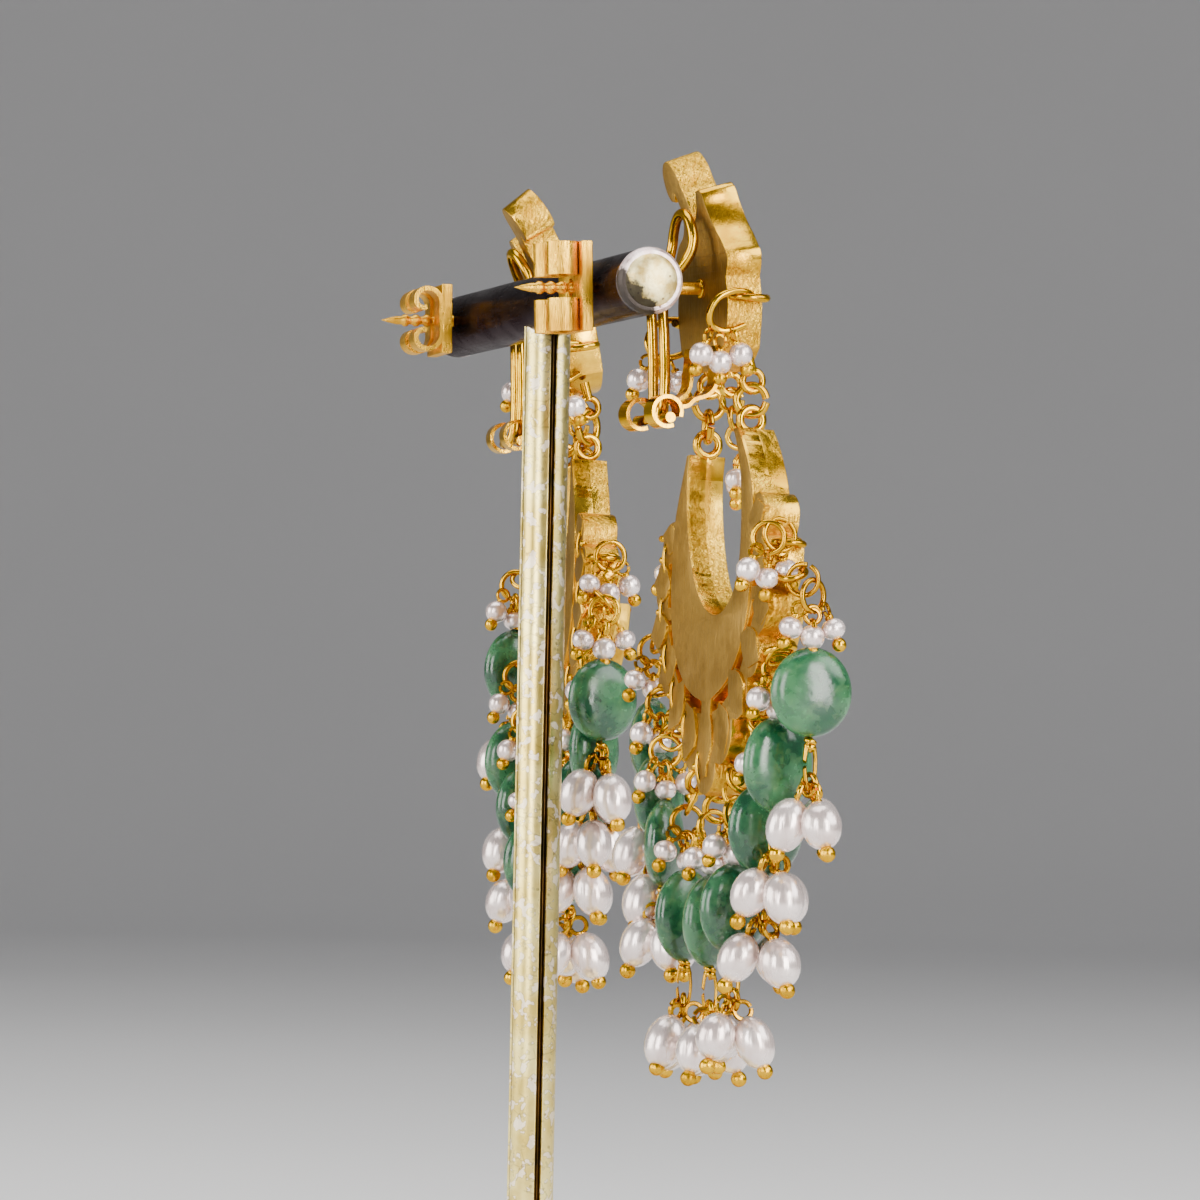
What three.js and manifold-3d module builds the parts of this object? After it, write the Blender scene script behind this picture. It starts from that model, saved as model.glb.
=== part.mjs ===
// A mirrored pair of chandbali earrings on a T-bar display stand.
// Millimetres, +Z up. The bar runs along X, the earrings' fronts face -Y, the base stands on z = 0.
import * as THREE from 'three';
import { mergeVertices } from 'three/addons/utils/BufferGeometryUtils.js';
import Module from 'manifold-3d';

const wasm = await Module();
wasm.setup();

const DEGREE = Math.PI / 180;

// ---------------------------------------------------------------- driving dimensions

const STAND = {
  baseRadius: 30, baseHeight: 3, baseBevel: 0.6,
  barHeight: 100, barRadius: 2.65, barHalfLength: 33.0, capLength: 1.6, capRim: 0.5,
  holeRadius: 1.05, poleRadius: 1.95, fluteDepth: 0.36, fluteHalfAngle: 8, fluteTurn: -4.3, saddleGap: 0.1,
};
const POST_SPACING = 48;

// How each earring sits on the bar: yaw about the pole's direction, pitch of its post (negative lifts
// the front), tilt and curl of the stud's plate, slope of the clip's loop, places in front of the bar's
// axis of the rings that carry the pendant and of its back, the pendant's roll and lean, its skew and
// its lift, how much lower its ring towards the pole is set, and the turn of the nut.
const EARRINGS = [
  { name: 'left', side: -1, yaw: 4.7, pitch: -2, tilt: 0, curl: 0.016, clipSlope: 0,
    front: 8.545, plateBack: 8.0, roll: 4.4, lean: 2.5, skew: 0, lift: 0, lowRing: 0.9,
    nutTurn: 0 },
  { name: 'right', side: 1, yaw: -2.7, pitch: -1, tilt: 9, curl: 0.024, clipSlope: 0.32,
    front: 7.64, plateBack: 7.2, roll: 5, lean: 2.5, skew: 0.05, lift: 0.3, lowRing: 0.4,
    nutTurn: 90 },
];

const STUD = { back: 7.05, depth: 3, hingeZ: -6 };
const POST = { radius: 0.5, tip: -9, ribStart: -3.9, ribPitch: 0.95, ribs: 4, ribDepth: 0.12, collar: 1.1 };
const KNUCKLE = { n: 2.5, z: -10.1, outer: 1.55, inner: 1.15, end: 4.1, windowHalf: 2.1 };
const CLIP = { wire: 0.425, axisN: 2.76, axisZ: -10.58, legHalf: 1.4, legN: 3.25, loopHalf: 2.5 };
const NUT = { plateBack: -3.3, sheet: 0.4, height: 7.2, wing: 1.55, scroll: 1.95, slot: 1.9, hole: 0.72 };
const PENDANT = { drop: -5.2, depth: 3, hornRing: 0.95, hornWire: 0.35, hornHalf: 5 };
const LINK = { radius: 0.78, wire: 0.24, eye: 0.85, eyeWire: 0.28, eyeZ: -6.0, centreEyeZ: -7.4 };
const SEED = { radius: 1.1, half: 0.95, reach: 1.6, ball: 0, sides: 4, spread: 66 };
const RICE = { radius: 1.5, half: 2.18, reach: 3.35, pin: 0.24, ball: 0.68, sides: 5, spread: 30 };
const GREEN = { half: 3.3, height: 7.5, thickness: 2.7 };

// Depths below the top of a string at which its parts hang; the right earring's pearls hang closer.
const STRING = { ring: 0.9, ringRadius: 1.25, ringWire: 0.28, green: 8.5, pearls: { left: 15.9, right: 13.6 } };

// The crescent's outline as (u, z), from the outer horn's inner corner down its scalloped edge, up the
// other side and back round the opening. The pair is cut from one pattern, which is not quite even.
const CRESCENT = [
  [5.2, -0.8], [6.2, -0.8], [7.4, -2.0], [8.6, -3.5], [9.5, -4.9], [10.3, -6.6], [11.4, -6.6],
  [12.5, -7.6], [12.6, -8.9], [12.2, -9.9], [13.6, -10.6], [13.9, -12.0], [13.6, -13.3], [12.9, -14.2],
  [13.9, -14.9], [14.0, -16.2], [13.3, -17.4], [12.0, -18.1], [12.5, -19.0], [12.1, -20.3], [11.1, -21.2],
  [9.9, -21.3], [9.9, -22.5], [9.2, -23.7], [8.0, -24.4], [6.8, -24.3], [6.6, -25.7], [5.9, -27.0],
  [4.6, -27.8], [3.2, -27.6], [3.1, -28.7], [2.2, -29.7], [1.0, -30.1], [-0.2, -29.7], [-1.1, -28.7],
  [-1.2, -27.6], [-2.6, -27.8], [-3.9, -27.0], [-4.6, -25.7], [-4.8, -24.3], [-6.0, -24.4], [-7.2, -23.7],
  [-7.9, -22.5], [-7.9, -21.3], [-9.1, -21.2], [-10.1, -20.3], [-10.5, -19.0], [-10.0, -18.1], [-11.3, -17.4],
  [-12.1, -16.2], [-12.0, -14.9], [-11.2, -14.2], [-12.0, -13.3], [-12.2, -12.0], [-11.9, -10.6], [-10.8, -9.9],
  [-11.0, -8.9], [-10.5, -7.6], [-9.2, -7.0], [-7.8, -7.0], [-7.2, -5.4], [-6.5, -3.9], [-5.9, -2.7],
  [-5.5, -1.8], [-4.9, -1.8], [-5.2, -4.2], [-5.0, -6.5], [-4.4, -8.8], [-3.5, -11.0], [-2.3, -12.9],
  [-0.7, -14.4], [1.1, -15.3], [3.0, -15.6], [4.9, -15.1], [6.5, -13.9], [7.4, -12.1], [7.7, -9.5],
  [7.5, -6.5], [7.0, -4.0], [6.2, -2.3],
];

// The middle of the crescent, and the slots pierced between its body and its leaves on one side of it.
const MIDDLE = 1.0;
const SLOTS = [
  [[10.3, -10.4], [11.4, -10.4], [11.3, -14.0], [10.2, -14.0]],
  [[10.3, -15.1], [11.5, -15.1], [10.2, -17.2], [9.4, -17.1]],
  [[9.2, -17.8], [9.9, -17.9], [8.1, -20.5], [7.0, -20.2]],
  [[1.9, -22.6], [4.6, -21.7], [7.0, -20.7], [7.9, -21.2], [4.0, -23.1], [1.9, -23.4]],
];

// Middles of the crescent's leaves, which the strings hang from.
const LEAVES = [
  [11.2, -8.4], [12.4, -12.2], [12.3, -16.1], [10.6, -19.9], [8.2, -23.0], [4.8, -26.2], [1.0, -28.4],
  [-2.8, -26.2], [-6.2, -23.0], [-8.6, -19.9], [-10.4, -16.1], [-10.6, -12.2], [-9.4, -8.4],
];

// Strings of beads, counted and measured towards the bar's left end for both earrings:
// place across, then for the left and for the right earring the height of the string's top and its
// place in front of the bar's axis, and the turn of its flat bead and of its pearls.
const STRINGS = [
  { across: -15.1, left: { top: -27.0, n: 7.2 }, right: { top: -21.4, n: 5.35 }, bead: 128, pearls: 90 },
  { across: -11.2, left: { top: -31.8, n: 6.8 }, right: { top: -30.2, n: 5.7 }, bead: 108, pearls: 90 },
  { across: -8.0, left: { top: -35.9, n: 6.9 }, right: { top: -34.2, n: 6.0 }, bead: 126, pearls: 30 },
  { across: -3.4, left: { top: -41.7, n: 7.1 }, right: { top: -38.9, n: 6.4 }, bead: 122, pearls: 90 },
  { across: 2.4, left: { top: -42.0, n: 7.2 }, right: { top: -39.5, n: 6.6 }, bead: 128, pearls: 90 },
  { across: 8.0, left: { top: -40.8, n: 7.1 }, right: { top: -38.7, n: 7.0 }, bead: 106, pearls: 90 },
  { across: 11.3, left: { top: -35.1, n: 7.7 }, right: { top: -33.2, n: 7.2 }, bead: 92, pearls: 15 },
  { across: 14.0, left: { top: -30.0, n: 8.9 }, right: { top: -29.0, n: 7.7 }, bead: 100, pearls: 270 },
  { across: 17.2, left: { top: -24.2, n: 11.1 }, right: { top: -23.9, n: 8.4 }, bead: 82, pearls: 15 },
];

// The topmost strings are pearls alone.
const TOP_BUNCHES = [
  { across: -13.2, left: { top: -19.4, n: 8.6 }, right: { top: -19.4, n: 7.8 } },
  { across: 13.2, left: { top: -18.4, n: 8.4 }, right: { top: -18.4, n: 8.6 } },
];

// ---------------------------------------------------------------- materials

const gold = { color: 0xc79a3c, roughness: 0.32, metalness: 1 };
const brass = { color: 0xb9a062, roughness: 0.3, metalness: 1 };
const gunmetal = { color: 0x57504c, roughness: 0.25, metalness: 1 };
const wornCap = { color: 0xd9d2c6, roughness: 0.45, metalness: 0.8 };
const emerald = { color: 0x2f8a5b, roughness: 0.12, metalness: 0 };
const pearl = { color: 0xf0e6e2, roughness: 0.22, metalness: 0 };

// ---------------------------------------------------------------- solids

function solidOf(geometry) {
  const bare = geometry.clone();
  bare.deleteAttribute('normal');
  bare.deleteAttribute('uv');
  const merged = mergeVertices(bare, 1e-4);
  const corners = merged.index.array;
  const kept = [];
  for (let i = 0; i < corners.length; i += 3) {
    const [a, b, c] = corners.slice(i, i + 3);
    if (a !== b && b !== c && c !== a) {
      kept.push(a, b, c);
    }
  }
  const vertProperties = new Float32Array(merged.attributes.position.array);
  return new wasm.Manifold(new wasm.Mesh({ numProp: 3, vertProperties, triVerts: new Uint32Array(kept) }));
}

function joined(geometries) {
  return geometries.map(solidOf).reduce((whole, next) => whole.add(next));
}

function meshOf(name, solid, finish) {
  const { vertProperties, triVerts } = solid.getMesh();
  const geometry = new THREE.BufferGeometry();
  geometry.setAttribute('position', new THREE.BufferAttribute(new Float32Array(vertProperties), 3));
  geometry.setIndex(new THREE.BufferAttribute(new Uint32Array(triVerts), 1));
  geometry.computeVertexNormals();
  const mesh = new THREE.Mesh(geometry, new THREE.MeshStandardMaterial(finish));
  mesh.name = name;
  return mesh;
}

// A rod between two points, with flat ends.
function rod(from, to, radius, sides) {
  const along = to.clone().sub(from);
  const geometry = new THREE.CylinderGeometry(radius, radius, along.length(), sides);
  geometry.applyQuaternion(new THREE.Quaternion().setFromUnitVectors(
    new THREE.Vector3(0, 1, 0), along.clone().normalize()));
  const middle = from.clone().add(to).multiplyScalar(0.5);
  return geometry.translate(middle.x, middle.y, middle.z);
}

// A round bar swept along a curve.
function wireAlong(curve, radius, sides, steps) {
  const section = new THREE.Shape();
  for (let i = 0; i < sides; i += 1) {
    const angle = (i / sides) * 2 * Math.PI;
    const point = [radius * Math.cos(angle), radius * Math.sin(angle)];
    if (i === 0) {
      section.moveTo(...point);
    } else {
      section.lineTo(...point);
    }
  }
  section.closePath();
  return new THREE.ExtrudeGeometry(section, { steps, bevelEnabled: false, extrudePath: curve });
}

// A ring whose axis is x, y or z.
function ring(centre, radius, wire, axis, around = 8, sides = 4) {
  const geometry = new THREE.TorusGeometry(radius, wire, sides, around);
  if (axis === 'x') {
    geometry.rotateY(Math.PI / 2);
  }
  if (axis === 'y') {
    geometry.rotateX(Math.PI / 2);
  }
  return geometry.translate(centre.x, centre.y, centre.z);
}

// A long link in the XZ plane: a ring cut in half and drawn apart.
function longLink(centre, radius, wire, stretch) {
  const geometry = new THREE.TorusGeometry(radius, wire, 4, 8);
  geometry.rotateZ(Math.PI / 8);
  geometry.rotateX(Math.PI / 2);
  const place = geometry.attributes.position;
  for (let i = 0; i < place.count; i += 1) {
    place.setZ(i, place.getZ(i) + Math.sign(place.getZ(i)) * stretch / 2);
  }
  return geometry.translate(centre.x, centre.y, centre.z);
}

// A bead on its pin, drawn as one turned shape that starts in a knot; a long one ends in a small ball.
function pinnedBead(knot, direction, kind) {
  const { radius, half, reach, pin, ball, sides } = kind;
  const profile = ball > 0
    ? [[0, 0], [pin, reach - half], [radius, reach - half * 0.1], [ball, reach + half],
      [0, reach + half + ball * 1.5]]
    : [[0, 0], [radius, reach], [0, reach + half]];
  const shape = new THREE.LatheGeometry(profile.map(([r, y]) => new THREE.Vector2(r, y)), sides);
  shape.applyQuaternion(new THREE.Quaternion().setFromUnitVectors(new THREE.Vector3(0, 1, 0), direction));
  return shape.translate(knot.x, knot.y, knot.z);
}

// Beads hanging from one knot: a flat fan of three in the YZ plane, or a tuft of long beads all round.
function flatFan(knot, kind) {
  return [-1, 0, 1].map((way) => {
    const lift = way * kind.spread * DEGREE;
    return pinnedBead(knot, new THREE.Vector3(0, Math.sin(lift), -Math.cos(lift)), kind);
  });
}

function tuft(knot, kind, count, turn) {
  const parts = [];
  const out = Math.sin(kind.spread * DEGREE);
  for (let i = 0; i < count; i += 1) {
    const azimuth = turn * DEGREE + (i / count) * 2 * Math.PI;
    const direction = new THREE.Vector3(
      out * Math.sin(azimuth), out * Math.cos(azimuth), -Math.cos(kind.spread * DEGREE));
    parts.push(pinnedBead(knot, direction, kind));
  }
  return parts;
}

// ---------------------------------------------------------------- stand

function standBase() {
  const { baseRadius, baseHeight, baseBevel } = STAND;
  const profile = [[0, 0], [baseRadius, 0], [baseRadius, baseHeight - baseBevel],
    [baseRadius - baseBevel, baseHeight], [0, baseHeight]].map(([r, z]) => new THREE.Vector2(r, z));
  const disc = new THREE.LatheGeometry(profile, 24).rotateX(Math.PI / 2);
  return meshOf('stand_base', solidOf(disc), brass);
}

function fluteOutline() {
  const { poleRadius, fluteDepth, fluteHalfAngle, fluteTurn } = STAND;
  const section = new THREE.Shape();
  const row = [[-1, 0], [-0.55, 1], [-0.3, 1], [0, 0.45], [0.3, 1], [0.55, 1], [1, 0]];
  const land = [24, 45, 66];
  for (let quarter = 0; quarter < 4; quarter += 1) {
    const start = fluteTurn + quarter * 90;
    const corners = row.map(([part, deep]) => [start + part * fluteHalfAngle, poleRadius - deep * fluteDepth]);
    corners.push(...land.map((turn) => [start + turn, poleRadius]));
    for (const [angle, radius] of corners) {
      const point = [radius * Math.cos(angle * DEGREE), radius * Math.sin(angle * DEGREE)];
      if (section.curves.length === 0 && section.currentPoint.lengthSq() === 0) {
        section.moveTo(...point);
      } else {
        section.lineTo(...point);
      }
    }
  }
  section.closePath();
  return section;
}

function standPole() {
  const { baseHeight, barHeight, barRadius, poleRadius, saddleGap } = STAND;
  const bottom = baseHeight + saddleGap;
  const blank = new THREE.ExtrudeGeometry(fluteOutline(), { depth: barHeight - bottom, bevelEnabled: false });
  blank.translate(0, 0, bottom);
  const saddle = new THREE.CylinderGeometry(barRadius + saddleGap, barRadius + saddleGap, 4 * poleRadius, 32);
  saddle.rotateZ(Math.PI / 2);
  saddle.translate(0, 0, barHeight);
  return meshOf('stand_pole', solidOf(blank).subtract(solidOf(saddle)), brass);
}

function standBar() {
  const { barHeight, barRadius, barHalfLength, holeRadius } = STAND;
  const bar = new THREE.CylinderGeometry(barRadius, barRadius, 2 * barHalfLength, 18);
  bar.rotateZ(Math.PI / 2);
  let solid = solidOf(bar);
  for (const { side } of EARRINGS) {
    const hole = new THREE.CylinderGeometry(holeRadius, holeRadius, 4 * barRadius, 8);
    hole.translate(side * POST_SPACING / 2, 0, 0);
    solid = solid.subtract(solidOf(hole));
  }
  return meshOf('stand_bar', solid.translate([0, 0, barHeight]), gunmetal);
}

function barCap(side) {
  const { barHeight, barRadius, barHalfLength, capLength, capRim, saddleGap } = STAND;
  const profile = [[0, 0], [barRadius, 0], [barRadius, capRim], [barRadius * 0.85, capRim + 0.6],
    [barRadius * 0.5, capLength - 0.12], [0, capLength]].map(([r, z]) => new THREE.Vector2(r, z));
  const cap = new THREE.LatheGeometry(profile, 12);
  cap.rotateZ(-side * Math.PI / 2);
  cap.translate(side * (barHalfLength + saddleGap), 0, barHeight);
  return meshOf(side < 0 ? 'bar_cap_left' : 'bar_cap_right', solidOf(cap), wornCap);
}

// ---------------------------------------------------------------- one earring
// Its own frame: u points away from the pole, n to the front, z up, from where the post crosses the
// bar's axis. A point (u, n, z) lies at (side * u, -n, z) in the earring's group.

function at(side, u, n, z) {
  return new THREE.Vector3(side * u, -n, z);
}

// A flat outline of (u, z) points, with its holes, as a plate from n to n + depth.
function plate(side, points, n, depth, holes = []) {
  const flat = (line) => {
    const corners = line.map(([u, z]) => new THREE.Vector2(side * u, z));
    return THREE.ShapeUtils.isClockWise(corners) ? corners.reverse() : corners;
  };
  const section = new THREE.Shape(flat(points));
  section.holes = holes.map((line) => new THREE.Path(flat(line)));
  const geometry = new THREE.ExtrudeGeometry(section, { depth, bevelEnabled: false });
  return geometry.rotateX(Math.PI / 2).translate(0, -n, 0);
}

// Above the post the stud's plate curls back, square to its own curve.
function curlBack(geometry, curl) {
  const place = geometry.attributes.position;
  for (let i = 0; i < place.count; i += 1) {
    const z = place.getZ(i);
    if (z > 0) {
      const depth = -place.getY(i) - STUD.back;
      const slope = Math.atan(2 * curl * z);
      place.setY(i, -(STUD.back - curl * z * z + depth * Math.cos(slope)));
      place.setZ(i, z + depth * Math.sin(slope));
    }
  }
  return geometry;
}

// Leans something fixed to the stud's plate back about the plate's lower edge.
function tiltBack(geometry, tilt) {
  const { back, hingeZ } = STUD;
  return geometry.translate(0, back, -hingeZ).rotateX(-tilt * DEGREE).translate(0, -back, hingeZ);
}

// The stud's outline: a shield below, a raised lobe on the outer side and a curl that leans inwards.
const STUD_OUTLINE = [[0, -6.8], [3.2, -6.4], [5.2, -5.1], [5.9, -1.6], [5.5, 0.6], [6.1, 2.2], [5.3, 3.4],
  [3.9, 4.8], [2.9, 6.3], [2.3, 7.7], [1.2, 7.8], [0.4, 6.2], [-0.4, 5.4], [-0.9, 6.6], [-1.7, 8.2],
  [-2.4, 9.8], [-3.6, 10.5], [-4.8, 10.0], [-5.3, 8.8], [-4.9, 7.5], [-3.9, 7.2], [-3.6, 7.9], [-3.0, 6.4],
  [-3.2, 4.9], [-5.3, 3.4], [-6.1, 2.2], [-5.5, 0.6], [-5.9, -1.6], [-5.2, -5.1], [-3.2, -6.4]];

// The two rings soldered to the stud's side walls, each with three small pearls.
const STUD_RINGS = [{ way: 1, ringN: 7.2, ringZ: -2.4 }, { way: -1, ringN: 6.6, ringZ: -4.0 }];

function post() {
  const { radius, tip, ribStart, ribPitch, ribs, ribDepth, collar } = POST;
  const profile = [[0, tip], [radius * 0.45, tip + 0.7], [radius, tip + 1.9]];
  for (let i = ribs - 1; i >= 0; i -= 1) {
    const n = ribStart - i * ribPitch;
    profile.push([radius - ribDepth, n - 0.3], [radius, n]);
  }
  profile.push([radius, STUD.back - 0.8], [collar, STUD.back - 0.6], [collar, STUD.back + 0.4], [0, STUD.back + 0.4]);
  const shape = new THREE.LatheGeometry(profile.map(([r, n]) => new THREE.Vector2(r, n)), 6);
  return shape.rotateX(Math.PI);
}

// The omega clip's seat: a strip rolled into two knuckles, soldered under the stud's back.
function clipSeat() {
  const { n, z, outer, inner, end, windowHalf } = KNUCKLE;
  const section = new THREE.Shape();
  const mouth = [-20, 292];
  section.absarc(n, z, outer, mouth[0] * DEGREE, mouth[1] * DEGREE, false);
  section.absarc(n, z, inner, mouth[1] * DEGREE, mouth[0] * DEGREE, true);
  section.closePath();
  const rolled = new THREE.ExtrudeGeometry(section, { depth: 2 * end, bevelEnabled: false, curveSegments: 5 });
  const strip = new THREE.Shape([[3.75, -9.35], [3.95, -9.6], [5.4, -8.8], [6.5, -7.9], [7.5, -6.9],
    [7.5, -4.6], [7.0, -4.6], [6.95, -6.6], [6.1, -7.7], [5.1, -8.5]].map(([a, b]) => new THREE.Vector2(a, b)));
  const arm = new THREE.ExtrudeGeometry(strip, { depth: 2 * end, bevelEnabled: false });
  const gap = new THREE.BoxGeometry(2 * outer + 0.9, 2 * outer + 1.4, 2 * windowHalf);
  gap.translate(n - 0.1, z, end);
  return solidOf(rolled).add(solidOf(arm)).subtract(solidOf(gap)).translate([0, 0, -end]);
}

// Turns a solid drawn with (x, y, z) as (n, z, across) into the earring's group.
function standUp(solid) {
  return solid.rotate([90, 0, -90]);
}

function stud({ side, name, front, tilt, curl }) {
  const { back, depth } = STUD;
  const parts = [
    tiltBack(curlBack(plate(side, STUD_OUTLINE, back, depth), curl), tilt),
    post(),
  ];
  for (const { way, ringN, ringZ } of STUD_RINGS) {
    const u = way * 6.3;
    const loopZ = ringZ + 1.25;
    const bunch = [
      rod(at(side, u - way * 0.5, ringN, loopZ), at(side, u - way * 0.5, back + 3, loopZ), 0.5, 5),
      ring(at(side, u, ringN, ringZ), 1.35, 0.28, 'x', 5, 3),
      ...flatFan(at(side, u, ringN, ringZ - 1.3), SEED),
    ];
    parts.push(...bunch.map((piece) => tiltBack(piece, tilt)));
    parts.push(ring(at(side, way * PENDANT.hornHalf, front, LINK.eyeZ), LINK.eye, LINK.eyeWire, 'x', 6, 4));
  }
  parts.push(ring(at(side, 0, front, LINK.centreEyeZ), LINK.eye, LINK.eyeWire, 'x', 6, 4));
  const seat = standUp(clipSeat());
  return meshOf(`${name}_stud`, joined(parts).add(seat), gold);
}

// Half of the nut's scroll, from the middle of the plate round to the leaf that grips the post.
function scrollLine() {
  const { plateBack, wing, scroll } = NUT;
  const line = [[0, plateBack], [wing * 0.5, plateBack]];
  const centre = plateBack - scroll;
  const turns = 6;
  for (let i = 0; i <= turns; i += 1) {
    const angle = (90 - (i / turns) * 285) * DEGREE;
    const radius = scroll * (1 - 0.56 * (i / turns));
    line.push([wing + radius * Math.cos(angle), centre + radius * Math.sin(angle)]);
  }
  return line;
}

function earNut({ name, nutTurn }) {
  const { sheet, height, slot, hole, plateBack, scroll } = NUT;
  const line = scrollLine();
  const left = [];
  const right = [];
  line.forEach(([x, y], i) => {
    const before = line[Math.max(0, i - 1)];
    const after = line[Math.min(line.length - 1, i + 1)];
    const way = new THREE.Vector2(after[0] - before[0], after[1] - before[1]).normalize();
    left.push(new THREE.Vector2(x - way.y * sheet / 2, y + way.x * sheet / 2));
    right.push(new THREE.Vector2(x + way.y * sheet / 2, y - way.x * sheet / 2));
  });
  const half = new THREE.ExtrudeGeometry(new THREE.Shape([...left, ...right.reverse()]),
    { depth: height, bevelEnabled: false });
  half.translate(-0.01, 0, -height / 2);
  const one = solidOf(half);
  const both = one.add(one.mirror([1, 0, 0]));
  const window = new THREE.BoxGeometry(20, 2.6 * scroll, slot).translate(0, plateBack - 1.5 * scroll, 0);
  const bore = new THREE.CylinderGeometry(hole, hole, 3, 8).translate(0, plateBack, 0);
  const cut = both.subtract(solidOf(window)).subtract(solidOf(bore));
  const placed = cut.mirror([0, 1, 0]).rotate([0, nutTurn, 0]);
  return meshOf(`${name}_ear_nut`, placed, gold);
}

function omegaClip({ side, name, clipSlope }) {
  const { wire, axisN, axisZ, legHalf, legN, loopHalf } = CLIP;
  const half = [[KNUCKLE.end - 0.1, axisN, axisZ], [2.6, axisN, axisZ], [1.85, axisN + 0.1, axisZ + 0.12],
    [legHalf, legN - 0.15, axisZ + 0.9], [legHalf, legN, -7.5], [legHalf, legN, -4], [legHalf, legN, -0.9],
    [legHalf + 0.15, legN + 0.45, 0.5], [loopHalf - 0.25, 4.95, 2.2], [loopHalf, 5.4, 3.4],
    [loopHalf - 0.45, 5.45, 4.8], [1.1, 5.4, 5.75]];
  const route = [...half, [0, 5.38, 6.05], ...half.slice().reverse().map(([u, n, z]) => [-u, n, z])];
  const points = route.map(([u, n, z]) => at(side, u, n - clipSlope * Math.max(0, z), z));
  const curve = new THREE.CatmullRomCurve3(points, false, 'centripetal');
  return meshOf(`${name}_omega_clip`, solidOf(wireAlong(curve, wire, 5, 24)), gold);
}

// ---------------------------------------------------------------- what hangs from the stud's rings
// These pieces hang plumb: their frame is the earring's turned level again, its origin midway between
// the stud's lower rings.

// A long link hanging from inside one ring down to a height.
function hangingLink(side, u, top, bottom) {
  const stretch = top - bottom - 2 * LINK.radius;
  return longLink(at(side, u, 0, (top + bottom) / 2), LINK.radius, LINK.wire, stretch);
}

// The centre of one of the pendant's rings, in its own flat frame.
function hornPlace({ side, lowRing }, way) {
  return at(side, way * PENDANT.hornHalf, 0, way < 0 ? -lowRing : 0);
}

function sideLink(earring, way) {
  const { side, name } = earring;
  const u = way * (PENDANT.hornHalf - 0.02);
  const link = hangingLink(side, u, -0.15, hung(earring, hornPlace(earring, way)).z);
  return meshOf(`${name}_side_link_${way > 0 ? 'outer' : 'inner'}`, solidOf(link), gold);
}

function centreDrop({ side, name }) {
  const top = LINK.centreEyeZ - LINK.eyeZ - 0.15;
  const knot = at(side, 0, 0, top - 4.2);
  const parts = [hangingLink(side, 0, top, knot.z), ...flatFan(knot, SEED)];
  return meshOf(`${name}_centre_drop`, joined(parts), gold);
}

// The plain raised tiers on the crescent's front: how far each stands out, its lower edge and its
// upper edge from the middle to one side.
const TIERS = [
  { rise: 1.2, lower: [[1.0, -22.2], [4.4, -21.3], [6.8, -19.8], [8.6, -17.6], [9.6, -14.8], [9.8, -11.8]],
    upper: [[1.0, -16.4], [4.2, -16.0], [6.8, -14.6], [8.4, -12.4]] },
  { rise: 2.4, lower: [[1.0, -21.2], [4.1, -20.4], [6.2, -19.0], [7.8, -16.9], [8.7, -14.4]],
    upper: [[1.0, -17.3], [4.4, -16.8], [7.0, -15.4]] },
];

// A point of the crescent's pattern in an earring's own pendant.
function onCrescent({ skew, lift }, [u, z]) {
  return [u + skew * z, z + lift];
}

// A line of points on the named side of the crescent's middle.
function otherWay(line, way) {
  return line.map(([u, z]) => [MIDDLE + way * (u - MIDDLE), z]);
}

// The crescent's plate with its ring of leaves and the tiers on its front.
function crescentPlates(earring) {
  const { side, front, plateBack } = earring;
  const { depth } = PENDANT;
  const back = plateBack - front;
  const skewed = (line) => line.map((point) => onCrescent(earring, point));
  const slots = [1, -1].flatMap((way) => SLOTS.map((line) => skewed(otherWay(line, way))));
  const parts = [plate(side, skewed(CRESCENT), back, depth, slots)];
  for (const { rise, lower, upper } of TIERS) {
    const half = [...upper, ...lower.slice().reverse()];
    const whole = [...half, ...otherWay(half.slice(1, -1).reverse(), -1)];
    parts.push(plate(side, skewed(whole), back + depth - 0.2, rise + 0.2));
  }
  return parts;
}

// Turns a place in the crescent's own flat frame into the plumb frame.
function hung({ side, roll, lean }, point) {
  const turn = new THREE.Euler(lean * DEGREE, roll * DEGREE, 0);
  return point.clone().applyEuler(turn).add(at(side, 0, 0, PENDANT.drop));
}

// The middle of the leaf nearest to a place in the plumb frame.
function nearestLeaf(earring, place) {
  const middle = PENDANT.depth / 2 + earring.plateBack - earring.front;
  const leaves = LEAVES.map((leaf) => {
    const [u, z] = onCrescent(earring, leaf);
    return hung(earring, at(earring.side, u, middle, z));
  });
  const across = (leaf) => Math.hypot(leaf.x - place.x, leaf.z - place.z);
  return leaves.reduce((best, leaf) => (across(leaf) < across(best) ? leaf : best));
}

function crescent(earring) {
  const { name, roll, lean } = earring;
  const { hornRing, hornWire, drop } = PENDANT;
  const turn = new THREE.Matrix4().makeRotationFromEuler(new THREE.Euler(lean * DEGREE, roll * DEGREE, 0));
  const flat = crescentPlates(earring);
  for (const way of [1, -1]) {
    flat.push(ring(hornPlace(earring, way), hornRing, hornWire, 'x', 8, 4));
  }
  const parts = flat.map((piece) => piece.applyMatrix4(turn).translate(0, 0, drop));
  for (const row of [...TOP_BUNCHES, ...STRINGS]) {
    const centre = stringPlace(earring, row, STRING.ring);
    const loop = centre.clone().add(new THREE.Vector3(0, 0, STRING.ringRadius - 0.1));
    parts.push(rod(nearestLeaf(earring, loop), loop, 0.32, 3));
    parts.push(ring(centre, STRING.ringRadius, STRING.ringWire, 'x', 5, 3));
    parts.push(...flatFan(stringPlace(earring, row, STRING.ring + STRING.ringRadius), SEED));
  }
  return meshOf(`${name}_crescent`, joined(parts), gold);
}

// A place on a string, at a depth below its top, in the plumb frame.
function stringPlace({ name, front }, row, depth) {
  const { top, n } = row[name];
  return new THREE.Vector3(-row.across, front - n, top - LINK.eyeZ - depth);
}

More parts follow.
